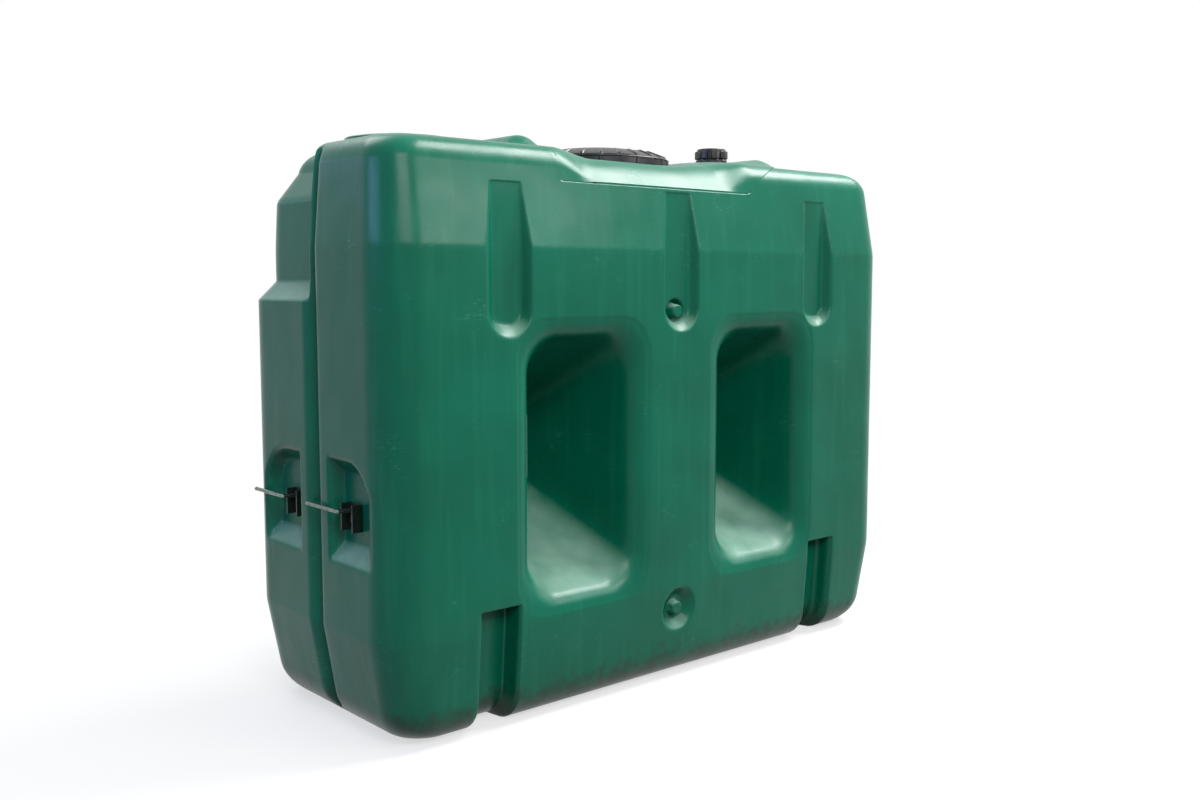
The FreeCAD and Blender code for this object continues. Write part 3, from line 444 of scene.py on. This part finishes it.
# Streaks about 25 mm wide and 400 mm long. A Mix node takes its two colours at 6 and 7 and gives one at 2.
drawn_out = add_node(tree, "ShaderNodeMapping", {"Scale": (40.0, 40.0, 2.5)}, {"Vector": place})
streak = add_node(tree, "ShaderNodeTexNoise", {"Scale": 1.0, "Detail": 2.0},
                  {"Vector": drawn_out.outputs["Vector"]})
streak_share = add_node(tree, "ShaderNodeMapRange", {"From Min": 0.52, "From Max": 0.78, "To Max": 0.35},
                        {"Value": streak.outputs["Fac"]})
streaked = add_node(tree, "ShaderNodeMix", {"data_type": "RGBA", 7: linear("#1F7A5C")},
                    {0: streak_share.outputs["Result"], 6: green.outputs["Color"]})
# Scuffs about 5 by 17 mm in patches of about 110 mm, most of them along the upper bend, 1.106 m up.
scratch_place = add_node(tree, "ShaderNodeMapping",
                         {"Scale": (60.0, 60.0, 190.0), "Rotation": (0.2, 0.5, 0.0)}, {"Vector": place})
scratch = add_node(tree, "ShaderNodeTexNoise", {"Scale": 1.0, "Detail": 4.0, "Roughness": 0.7},
                   {"Vector": scratch_place.outputs["Vector"]})
patch = add_node(tree, "ShaderNodeTexNoise", {"Scale": 9.0, "Detail": 2.0}, {"Vector": place})
from_bend = add_node(tree, "ShaderNodeMath", {"operation": "SUBTRACT", 1: 1.106}, {0: level})
off_bend = add_node(tree, "ShaderNodeMath", {"operation": "ABSOLUTE"}, {0: from_bend.outputs["Value"]})
at_bend = add_node(tree, "ShaderNodeMapRange",
                   {"From Min": 0.0, "From Max": 0.016, "To Min": 0.16, "To Max": 0.0},
                   {"Value": off_bend.outputs["Value"]})
worn = add_node(tree, "ShaderNodeMath", {"operation": "ADD"},
                {0: patch.outputs["Fac"], 1: at_bend.outputs["Result"]})
worn_share = add_node(tree, "ShaderNodeMapRange", {"From Min": 0.56, "From Max": 0.74},
                      {"Value": worn.outputs["Value"]})
line_share = add_node(tree, "ShaderNodeMapRange", {"From Min": 0.56, "From Max": 0.72, "To Max": 0.55},
                      {"Value": scratch.outputs["Fac"]})
scuff = add_node(tree, "ShaderNodeMath", {"operation": "MULTIPLY"},
                 {0: worn_share.outputs["Result"], 1: line_share.outputs["Result"]})
scuffed = add_node(tree, "ShaderNodeMix", {"data_type": "RGBA", 7: linear("#5E9C86")},
                   {0: scuff.outputs["Value"], 6: streaked.outputs[2]})
# Soil: splashes of about 30 mm that thin out over the lowest 150 mm.
splash = add_node(tree, "ShaderNodeTexNoise", {"Scale": 34.0, "Detail": 5.0, "Roughness": 0.65},
                  {"Vector": place})
low_down = add_node(tree, "ShaderNodeMapRange",
                    {"From Min": 0.01, "From Max": 0.15, "To Min": 0.42, "To Max": -0.25}, {"Value": level})
soil = add_node(tree, "ShaderNodeMath", {"operation": "ADD"},
                {0: splash.outputs["Fac"], 1: low_down.outputs["Result"]})
soil_share = add_node(tree, "ShaderNodeMapRange", {"From Min": 0.52, "From Max": 0.90, "To Max": 0.75},
                      {"Value": soil.outputs["Value"]})
soiled = add_node(tree, "ShaderNodeMix", {"data_type": "RGBA", 7: linear("#2A2A20")},
                  {0: soil_share.outputs["Result"], 6: scuffed.outputs[2]})
# Dust and painted sheen: pale, on sills and ledges below the roof that face up and that rain doesn't wash, in
# the same patches. The pale colour is dust, and it also paints in the sheen of light that these faces would
# catch.
normal = add_node(tree, "ShaderNodeTexCoord").outputs["Normal"]
facing = add_node(tree, "ShaderNodeSeparateXYZ", None, {"Vector": normal})
upward = add_node(tree, "ShaderNodeMapRange", {"From Min": 0.30, "From Max": 0.85},
                  {"Value": facing.outputs["Z"]})
below_roof_band = add_node(tree, "ShaderNodeMapRange",
                     {"From Min": 0.98, "From Max": 1.08, "To Min": 1.0, "To Max": 0.0}, {"Value": level})
dust_and_sheen_lying = add_node(tree, "ShaderNodeMath", {"operation": "MULTIPLY"},
                   {0: upward.outputs["Result"], 1: below_roof_band.outputs["Result"]})
dust_and_sheen_patch = add_node(tree, "ShaderNodeMapRange",
                      {"From Min": 0.35, "From Max": 0.65, "To Min": 0.34, "To Max": 0.58},
                      {"Value": patch.outputs["Fac"]})
dust_and_sheen_share = add_node(tree, "ShaderNodeMath", {"operation": "MULTIPLY"},
                      {0: dust_and_sheen_lying.outputs["Value"], 1: dust_and_sheen_patch.outputs["Result"]})
# Painted sheen and dust: the pale colour is mixed on to the faces that look up, both as dust and as the sheen of
# light on them.
paled_facing_up = add_node(tree, "ShaderNodeMix", {"data_type": "RGBA", 7: linear("#A9CDBD")},
                 {0: dust_and_sheen_share.outputs["Value"], 6: soiled.outputs[2]})
# Peel: the mould's dimples are about 3 mm across, drawn at 9 mm so that they show; the waves are 140 mm long.
peel = add_node(tree, "ShaderNodeTexNoise", {"Scale": 110.0, "Detail": 2.0}, {"Vector": place})
peel_bump = add_node(tree, "ShaderNodeBump", {"Strength": 0.10, "Distance": 0.0012},
                     {"Height": peel.outputs["Fac"]})
wave = add_node(tree, "ShaderNodeTexNoise", {"Scale": 7.0, "Detail": 1.0}, {"Vector": place})
wave_bump = add_node(tree, "ShaderNodeBump", {"Strength": 0.30, "Distance": 0.012},
                     {"Height": wave.outputs["Fac"], "Normal": peel_bump.outputs["Normal"]})
satin = add_node(tree, "ShaderNodeMapRange",
                 {"From Min": 0.3, "From Max": 0.7, "To Min": 0.27, "To Max": 0.34},
                 {"Value": patch.outputs["Fac"]})
surface = add_node(tree, "ShaderNodeBsdfPrincipled", {"IOR": 1.52, "Metallic": 0.0, "Specular IOR Level": 0.18},
                   {"Base Color": paled_facing_up.outputs[2], "Roughness": satin.outputs["Result"],
                    "Normal": wave_bump.outputs["Normal"]})
add_node(tree, "ShaderNodeOutputMaterial", None, {"Surface": surface.outputs["BSDF"]})


def mesh_piece(name, points, faces, body, material, slot, crisp=None):
    """A smooth-shaded piece that rides on a body and takes the given material's finish. Edges that turn by more
    than crisp degrees stay sharp. The slot is not used."""
    mesh = bpy.data.meshes.new(name)
    mesh.from_pydata([tuple(p) for p in points], [], [tuple(f) for f in faces])
    mesh.validate()
    mesh.polygons.foreach_set("use_smooth", [True] * len(mesh.polygons))
    if crisp:
        mesh.set_sharp_from_angle(angle=math.radians(crisp))
    mesh.materials.append(material)
    piece = bpy.data.objects.new(name, mesh)
    bpy.context.scene.collection.objects.link(piece)
    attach(piece, body)
    return piece


front_shell = mesh_piece("front_shell", *half_skin(-1), "tank", polyethylene, "green_polyethylene")
back_shell = mesh_piece("back_shell", *half_skin(1), "tank", polyethylene, "green_polyethylene")
walls = ("lower_wall", "side_wall", "upper_wall")
window_parts = ("sill", "head", "outer_side", "inner_side")
for piece, face, window_side, others in (
        (front_shell, "front", "left", ("base_left", "base_middle", "base_right", "roof_left")),
        (back_shell, "back", "right", ("roof_right",))):
    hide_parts(f"left_end_{face}", f"right_end_{face}", f"{face}_middle_wall", *others,
                *(f"{face}_{hand}_{part}" for hand in ("left", "right") for part in walls),
                *(f"{window_side}_window_{part}" for part in window_parts))

# Deck: the part of the same moulding that carries manhole and filler. It is drawn as a sheet of its own, so that
# its outline is crisp: rows follow the outline, columns run in to the middle and crowd along the edge. The first
# column is a hem that turns down into the room made for it.
sheet_step, end_points, sheet_columns, crowding, hem_drop, crisp_edge = 6.0, 97, 61, 1.8, 8.0, 30
along = grid_lines(deck_left, deck_right, sheet_step, [])
around_end = np.radians(np.linspace(-90.0, 90.0, end_points))[1:-1]
edge_x = np.concatenate([along, deck_right + deck_half * np.cos(around_end), along[::-1]])
edge_y = np.concatenate([0.0 * along - deck_half, deck_half * np.sin(around_end), 0.0 * along + deck_half])
middle_x = np.minimum(edge_x, deck_right)
way_in = np.concatenate([[0.0], np.linspace(0.0, 1.0, sheet_columns) ** crowding])[None, :]
sheet_x = edge_x[:, None] + (middle_x - edge_x)[:, None] * way_in
sheet_y = edge_y[:, None] * (1.0 - way_in)
sheet_z = deck(sheet_x, np.abs(sheet_y))
sheet_z[:, 0] -= hem_drop * (edge_x > deck_left + sweep_run) + end_stand * (edge_x > deck_right)
sheet = np.stack([sheet_x, sheet_y, sheet_z], axis=-1).reshape(-1, 3) * millimetre
sheet_faces = grid_quads(*sheet_x.shape)[:, [0, 3, 2, 1]]
deck_sheet = mesh_piece("roof_deck_and_ramp", sheet, sheet_faces, "tank", polyethylene, "green_polyethylene",
                        crisp_edge)
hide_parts("roof_deck", "roof_ramp")

# Inlet boss: a flat round pad moulded on the left shoulder, where an inlet may be cut in. It is of the same skin
# as the tank and grows out of the crown with a small fillet.
boss_x, boss_radius, boss_top, boss_foot, boss_facets = -613.0, 131.0, 1363.0, 1335.0, 96
axis_radius = 0.1


def turned(x, profile, segments, pattern=None):
    """Points and faces of a piece turned about the upright at x. Profile rows are radius and level, and where a
    pattern, from 0 to 1 round the circle, pushes that row, how far out and how far up."""
    angle = np.arange(segments) * 2.0 * math.pi / segments
    share = pattern(angle) if pattern else np.zeros(segments)
    points, faces = [], []
    for radius, height, *push in profile:
        out, up = push or (0.0, 0.0)
        reach = radius + out * share
        points.append(np.stack([x + reach * np.cos(angle), reach * np.sin(angle), height + up * share], axis=-1))
    for row in range(len(profile) - 1):
        low, high = row * segments, (row + 1) * segments
        for n in range(segments):
            m = (n + 1) % segments
            faces.append((low + n, low + m, high + m, high + n))
    return np.concatenate(points) * millimetre, faces


def teeth(count, flat, flank):
    """A pattern of count teeth round the circle. Of each pitch, the share flat is at full height, and the share
    flank rises to it on each side."""
    def pattern(angle):
        at = np.abs((angle * count / (2.0 * math.pi)) % 1.0 - 0.5)
        return smooth((flat / 2.0 + flank - at) / flank)
    return pattern


boss_profile = [
    (boss_radius + 9.0, boss_foot), (boss_radius + 3.0, boss_top - 17.0), (boss_radius + 1.0, boss_top - 8.0),
    (boss_radius, boss_top - 3.0), (boss_radius - 3.0, boss_top - 0.6), (boss_radius - 8.0, boss_top),
    (boss_radius - 60.0, boss_top + 1.0), (axis_radius, boss_top + 1.4)]
mesh_piece("inlet_boss", *turned(boss_x, boss_profile, boss_facets), "tank", polyethylene, "green_polyethylene",
           crisp_edge)

# Manhole neck: a short green collar moulded on the deck, with a flange at its foot. Its thread is hidden by the
# lid and left out.
neck_radius, neck_bore, neck_top, flange_radius, flange_top = 186.0, 178.0, 1349.0, 199.0, 1330.0
neck_foot, neck_facets = deck_level - 14.0, 128
neck_profile = [
    (flange_radius, neck_foot), (flange_radius, flange_top - 3.0), (flange_radius - 1.0, flange_top - 0.8),
    (flange_radius - 3.0, flange_top), (neck_radius + 2.0, flange_top), (neck_radius, flange_top + 2.0),
    (neck_radius, neck_top - 2.0), (neck_radius - 2.0, neck_top), (neck_bore + 2.0, neck_top),
    (neck_bore, neck_top - 2.0), (neck_bore, neck_foot)]
neck = mesh_piece("manhole_collar", *turned(0.0, neck_profile, neck_facets), "tank", polyethylene,
                  "green_polyethylene", crisp_edge)
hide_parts("manhole_neck")

# Screw lid: black polypropylene, injection moulded, turned on to the manhole neck by hand. It has a ribbed skirt
# to grip, a ribbed slope, and a slightly domed plate with a raised ring.
# Polypropylene gives the eye a half-gloss black with a fine spark-eroded grain, and dust on what faces up.
polypropylene, tree = empty_material("black_polypropylene_moulded")
place = add_node(tree, "ShaderNodeTexCoord").outputs["Object"]
facing = add_node(tree, "ShaderNodeNewGeometry").outputs["Normal"]
upward = add_node(tree, "ShaderNodeSeparateXYZ", None, {"Vector": facing}).outputs["Z"]
# Dust in blots of about 25 mm.
blot = add_node(tree, "ShaderNodeTexNoise", {"Scale": 40.0, "Detail": 5.0, "Roughness": 0.65}, {"Vector": place})
lying = add_node(tree, "ShaderNodeMapRange", {"From Min": 0.55, "From Max": 1.0, "To Max": 0.18},
                 {"Value": upward})
paled_facing_up = add_node(tree, "ShaderNodeMath", {"operation": "MULTIPLY"},
                 {0: blot.outputs["Fac"], 1: lying.outputs["Result"]})
shade = add_node(tree, "ShaderNodeValToRGB",
                 {"stops": [(0.35, linear("#101012")), (0.65, linear("#1A1A1E"))]},
                 {"Fac": blot.outputs["Fac"]})
dusted = add_node(tree, "ShaderNodeMix", {"data_type": "RGBA", 7: linear("#8C8C88")},
                  {0: paled_facing_up.outputs["Value"], 6: shade.outputs["Color"]})
# Grain of about 0.1 mm, drawn at 4 mm so that it shows.
grain = add_node(tree, "ShaderNodeTexNoise", {"Scale": 250.0, "Detail": 2.0}, {"Vector": place})
grained = add_node(tree, "ShaderNodeBump", {"Strength": 0.15, "Distance": 0.0008},
                   {"Height": grain.outputs["Fac"]})
gloss = add_node(tree, "ShaderNodeMapRange",
                 {"From Min": 0.3, "From Max": 0.7, "To Min": 0.28, "To Max": 0.42},
                 {"Value": blot.outputs["Fac"]})
surface = add_node(tree, "ShaderNodeBsdfPrincipled", {"IOR": 1.49, "Metallic": 0.0, "Specular IOR Level": 0.38},
                   {"Base Color": dusted.outputs[2], "Roughness": gloss.outputs["Result"],
                    "Normal": grained.outputs["Normal"]})
add_node(tree, "ShaderNodeOutputMaterial", None, {"Surface": surface.outputs["BSDF"]})

lid_radius, lid_low, lid_ledge, lid_slope_top, lid_top = 194.0, 1331.0, 1349.0, 1373.0, 1380.4
lid_ribs, rib_facets, rib_flat, rib_flank = 24, 20, 0.12, 0.05
ring_outside, ring_inside = 118.0, 104.0
lid_profile = [
    (neck_radius + 1.0, neck_top - 4.0), (neck_radius + 1.0, lid_low + 1.0), (neck_radius + 2.0, lid_low),
    (lid_radius - 1.0, lid_low), (lid_radius, lid_low + 1.0), (lid_radius, lid_low + 2.0, 3.0, 0.0),
    (lid_radius - 0.4, lid_ledge - 2.0, 3.0, 0.0), (lid_radius - 0.4, lid_ledge - 1.0, 1.5, 0.0),
    (lid_radius + 1.6, lid_ledge - 0.6), (lid_radius + 2.0, lid_ledge + 1.0),
    (lid_radius + 1.0, lid_ledge + 2.4), (lid_radius - 4.0, lid_ledge + 3.0),
    (lid_radius - 5.0, lid_ledge + 6.0, 1.0, 0.0), (lid_radius - 9.0, lid_ledge + 8.5, 2.5, 2.5),
    (lid_radius - 40.0, lid_slope_top - 3.5, 1.0, 3.0), (lid_radius - 46.0, lid_slope_top - 1.6, 0.0, 1.0),
    (lid_radius - 56.0, lid_slope_top), (ring_outside, lid_slope_top + 2.0),
    (ring_outside - 2.0, lid_slope_top + 3.6), (ring_inside + 2.0, lid_slope_top + 3.8),
    (ring_inside, lid_slope_top + 2.6), (60.0, lid_top - 1.2), (20.0, lid_top - 0.3),
    (axis_radius, lid_top - 0.2)]
lid_shape = turned(0.0, lid_profile, lid_ribs * rib_facets, teeth(lid_ribs, rib_flat, rib_flank))
lid = mesh_piece("screw_lid", *lid_shape, "lid", polypropylene, "black_polypropylene", crisp_edge)
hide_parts("manhole_lid")

# Rubber ring: moulded in black rubber, pressed between the neck's rim and the lid's plate, and out of sight.
# The rubber is matt, with a grey bloom in blots of about 17 mm.
rubber, tree = empty_material("gasket_rubber_moulded")
place = add_node(tree, "ShaderNodeTexCoord").outputs["Object"]
bloom = add_node(tree, "ShaderNodeTexNoise", {"Scale": 60.0, "Detail": 4.0}, {"Vector": place})
tone = add_node(tree, "ShaderNodeValToRGB",
                {"stops": [(0.35, linear("#151515")), (0.70, linear("#262626"))]},
                {"Fac": bloom.outputs["Fac"]})
surface = add_node(tree, "ShaderNodeBsdfPrincipled", {"IOR": 1.52, "Metallic": 0.0, "Roughness": 0.75},
                   {"Base Color": tone.outputs["Color"]})
add_node(tree, "ShaderNodeOutputMaterial", None, {"Surface": surface.outputs["BSDF"]})

seal_low, seal_top, seal_edge, seal_facets = neck_top + 0.4, neck_top + 4.4, 1.0, 96
seal_profile = [
    (neck_bore, seal_low + seal_edge), (neck_bore + seal_edge, seal_low), (neck_radius - seal_edge, seal_low),
    (neck_radius, seal_low + seal_edge), (neck_radius, seal_top - seal_edge),
    (neck_radius - seal_edge, seal_top), (neck_bore + seal_edge, seal_top), (neck_bore, seal_top - seal_edge),
    (neck_bore, seal_low + seal_edge)]
seal = mesh_piece("lid_seal", *turned(0.0, seal_profile, seal_facets), "lid", rubber, "gasket_rubber",
                  crisp_edge)
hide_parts("lid_gasket")

# Filler: a black polypropylene fitting screwed into the ramp, closed by a cap of the same with coarse teeth to
# grip. The cap's plate stands a little above the teeth.
filler_x, filler_radius, filler_bore, filler_low, filler_top = 450.0, 39.0, 34.0, 1362.0, 1409.0
foot_radius, foot_top, filler_facets = 46.0, 1384.0, 64
fitting_profile = [
    (foot_radius, filler_low), (foot_radius, foot_top - 2.0), (foot_radius - 1.5, foot_top),
    (filler_radius + 1.0, foot_top), (filler_radius, foot_top + 1.0), (filler_radius, filler_top - 1.5),
    (filler_radius - 1.5, filler_top), (filler_bore + 1.0, filler_top), (filler_bore, filler_top - 1.0),
    (filler_bore, filler_low)]
fitting = mesh_piece("filler_fitting", *turned(filler_x, fitting_profile, filler_facets), "tank", polypropylene,
                     "black_polypropylene", crisp_edge)
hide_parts("filler_neck")
cap_core, cap_tooth, cap_low, cap_shoulder, cap_top, cap_dish = 42.5, 5.5, 1387.0, 1409.0, 1416.0, 28.0
cap_teeth, tooth_facets, tooth_flat, tooth_flank = 10, 24, 0.52, 0.06
cap_profile = [
    (filler_radius + 0.8, cap_low + 4.0), (filler_radius + 1.0, cap_low),
    (cap_core - 0.8, cap_low, 0.6 * cap_tooth, 0.0), (cap_core, cap_low + 1.0, cap_tooth, 0.0),
    (cap_core, cap_shoulder - 1.5, cap_tooth, 0.0), (cap_core - 0.3, cap_shoulder, 0.8 * cap_tooth, 0.0),
    (cap_core - 0.6, cap_shoulder + 0.4), (cap_core - 0.8, cap_top - 2.0), (cap_core - 2.6, cap_top - 0.3),
    (cap_core - 5.0, cap_top), (cap_dish + 2.0, cap_top - 0.4), (cap_dish, cap_top - 1.6),
    (axis_radius, cap_top - 1.6)]
cap_shape = turned(filler_x, cap_profile, cap_teeth * tooth_facets, teeth(cap_teeth, tooth_flat, tooth_flank))
cap = mesh_piece("filler_screw_cap", *cap_shape, "cap", polypropylene, "black_polypropylene", crisp_edge)
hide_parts("filler_cap")

# Linking irons in the pockets of the left end: pressed steel channels painted black, each held by one bolt, with
# a bent wire rod that would hook on to the next tank. The CAD nodes stay, with eased edges.
# Painted steel: black, rubbed paler in patches of about 8 mm.
painted, tree = empty_material("black_painted_steel")
place = add_node(tree, "ShaderNodeTexCoord").outputs["Object"]
rub = add_node(tree, "ShaderNodeTexNoise", {"Scale": 125.0, "Detail": 4.0, "Roughness": 0.6}, {"Vector": place})
coat = add_node(tree, "ShaderNodeValToRGB",
                {"stops": [(0.40, linear("#08130F")), (0.72, linear("#1E2E28"))]},
                {"Fac": rub.outputs["Fac"]})
surface = add_node(tree, "ShaderNodeBsdfPrincipled", {"IOR": 1.5, "Metallic": 0.0, "Roughness": 0.42},
                   {"Base Color": coat.outputs["Color"]})
add_node(tree, "ShaderNodeOutputMaterial", None, {"Surface": surface.outputs["BSDF"]})

# Steel wire and bolts, zinc plated: grey, with dull blots of about 6 mm where the zinc has weathered.
plated, tree = empty_material("zinc_plated_steel")
place = add_node(tree, "ShaderNodeTexCoord").outputs["Object"]
weather = add_node(tree, "ShaderNodeTexNoise", {"Scale": 160.0, "Detail": 3.0}, {"Vector": place})
zinc = add_node(tree, "ShaderNodeValToRGB",
                {"stops": [(0.35, linear("#4E5B55")), (0.70, linear("#848F89"))]},
                {"Fac": weather.outputs["Fac"]})
dull = add_node(tree, "ShaderNodeMapRange",
                {"From Min": 0.3, "From Max": 0.7, "To Min": 0.45, "To Max": 0.25},
                {"Value": weather.outputs["Fac"]})
surface = add_node(tree, "ShaderNodeBsdfPrincipled", {"Metallic": 1.0},
                   {"Base Color": zinc.outputs["Color"], "Roughness": dull.outputs["Result"]})
add_node(tree, "ShaderNodeOutputMaterial", None, {"Surface": surface.outputs["BSDF"]})

for end in ("front", "back"):
    for part, finish, edge in (("bracket", painted, 0.0012), ("bolt", plated, 0.0008), ("rod", plated, 0.0)):
        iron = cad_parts[f"{end}_{part}"]
        iron.data.materials.clear()
        iron.data.materials.append(finish)
        if edge:
            rounded = iron.modifiers.new("eased_edges", "BEVEL")
            rounded.width, rounded.segments, rounded.limit_method = edge, 2, "ANGLE"

# Studio: a plain pale floor under a white surround. A large key lamp hangs high on the right, two softer ones
# stand in front and one behind, and two pale blue strips stand for the sky that the left end mirrors.
# What looks straight at floor and surround sees white; what they light gets a plain grey bounce and a soft sky.
floor_half = 30.0


def looked_at(tree):
    """1 for a ray from the camera, a reflection or a see-through surface, 0 for light on its way."""
    path = add_node(tree, "ShaderNodeLightPath").outputs
    seen = add_node(tree, "ShaderNodeMath", {"operation": "MAXIMUM"},
                    {0: path["Is Camera Ray"], 1: path["Is Glossy Ray"]})
    return add_node(tree, "ShaderNodeMath", {"operation": "MAXIMUM"},
                    {0: seen.outputs[0], 1: path["Is Transmission Ray"]}).outputs[0]


white, tree = empty_material("floor_white")
seen = looked_at(tree)
bounce = add_node(tree, "ShaderNodeBsdfDiffuse", {"Color": linear("#484848")})
matt = add_node(tree, "ShaderNodeBsdfDiffuse", {"Color": linear("#F4F4F4")})
glow = add_node(tree, "ShaderNodeEmission", {"Color": linear("#FFFFFF"), "Strength": 1.0})
place = add_node(tree, "ShaderNodeTexCoord").outputs["Object"]
far = add_node(tree, "ShaderNodeVectorMath", {"operation": "LENGTH"}, {0: place})
plain = add_node(tree, "ShaderNodeMapRange",
                 {"From Min": 0.9, "From Max": 2.2, "To Min": 0.62, "To Max": 1.0},
                 {"Value": far.outputs["Value"]})
shown = add_node(tree, "ShaderNodeMixShader", None,
                 {0: plain.outputs["Result"], 1: matt.outputs["BSDF"], 2: glow.outputs["Emission"]})
choice = add_node(tree, "ShaderNodeMixShader", None,
                  {0: seen, 1: bounce.outputs["BSDF"], 2: shown.outputs["Shader"]})
add_node(tree, "ShaderNodeOutputMaterial", None, {"Surface": choice.outputs["Shader"]})
mesh = bpy.data.meshes.new("floor")
mesh.from_pydata([(-floor_half, -floor_half, 0), (floor_half, -floor_half, 0), (floor_half, floor_half, 0),
                  (-floor_half, floor_half, 0)], [], [(0, 1, 2, 3)])
mesh.materials.append(white)
floor = bpy.data.objects.new("floor", mesh)
bpy.context.scene.collection.objects.link(floor)

world = bpy.data.worlds.new("studio")
bpy.context.scene.world = world
world.use_nodes = True
tree = world.node_tree
tree.nodes.clear()
seen = looked_at(tree)
toward = add_node(tree, "ShaderNodeTexCoord").outputs["Generated"]
height = add_node(tree, "ShaderNodeSeparateXYZ", None, {"Vector": toward}).outputs["Z"]
sky = add_node(tree, "ShaderNodeMapRange",
               {"From Min": 0.0, "From Max": 0.9, "To Min": 0.01, "To Max": 0.58}, {"Value": height})
surround = add_node(tree, "ShaderNodeBackground", {"Color": linear("#FFFFFF")},
                    {"Strength": sky.outputs["Result"]})
backdrop = add_node(tree, "ShaderNodeBackground", {"Color": linear("#FFFFFF"), "Strength": 1.0})
choice = add_node(tree, "ShaderNodeMixShader", None,
                  {0: seen, 1: surround.outputs["Background"], 2: backdrop.outputs["Background"]})
add_node(tree, "ShaderNodeOutputWorld", None, {"Surface": choice.outputs["Shader"]})

# Lamps: where each stands and points, its width and depth in metres, its watts and its colour.
for name, location, aim, width, depth, power, tint in (
        ("high_key", (4.6, -1.3, 6.6), (0.0, 0.0, 0.9), 3.6, 3.6, 850.0, "#FFFFFF"),
        ("front_fill", (-1.7, -3.5, 3.0), (-0.5, -0.2, 0.7), 2.0, 1.4, 80.0, "#FFFFFF"),
        ("front_sheen", (1.4, -3.5, 2.35), (-0.3, -0.3, 1.2), 1.7, 0.45, 42.0, "#FFFFFF"),
        ("back_fill", (-0.8, 3.0, 4.6), (0.0, 0.2, 0.9), 2.4, 2.0, 60.0, "#FFFFFF"),
        ("left_sky", (-3.7, 0.4, 1.95), (-0.8, -0.2, 1.2), 1.7, 0.4, 30.0, "#8FBCFF"),
        ("end_sky", (-2.3, 2.4, 1.95), (-0.8, -0.2, 1.2), 1.6, 0.4, 3.0, "#A8CCFF")):
    lamp = bpy.data.lights.new(name, "AREA")
    lamp.shape, lamp.size, lamp.size_y, lamp.energy = "RECTANGLE", width, depth, power
    lamp.color = linear(tint)[:3]
    stand = bpy.data.objects.new(name, lamp)
    stand.location = location
    run = [t - l for t, l in zip(aim, location)]
    stand.rotation_euler = (math.acos(-run[2] / math.hypot(*run)), 0.0, math.atan2(-run[0], run[1]))
    bpy.context.scene.collection.objects.link(stand)

# Camera: stands before the tank's left front corner, a little below the roof band, as the photograph was taken.
# Its place, tilt and turn come from a fit to the photograph's straight edges.
lens = bpy.data.cameras.new("camera")
lens.lens, lens.sensor_width = 36.0, 36.0
camera = bpy.data.objects.new("camera", lens)
camera.location = (-2.1617, -2.4748, 1.026)
camera.rotation_euler = (math.radians(84.429), 0.0, math.radians(-41.322))
bpy.context.scene.collection.objects.link(camera)
bpy.context.scene.camera = camera
bpy.context.scene.view_settings.view_transform = "Standard"
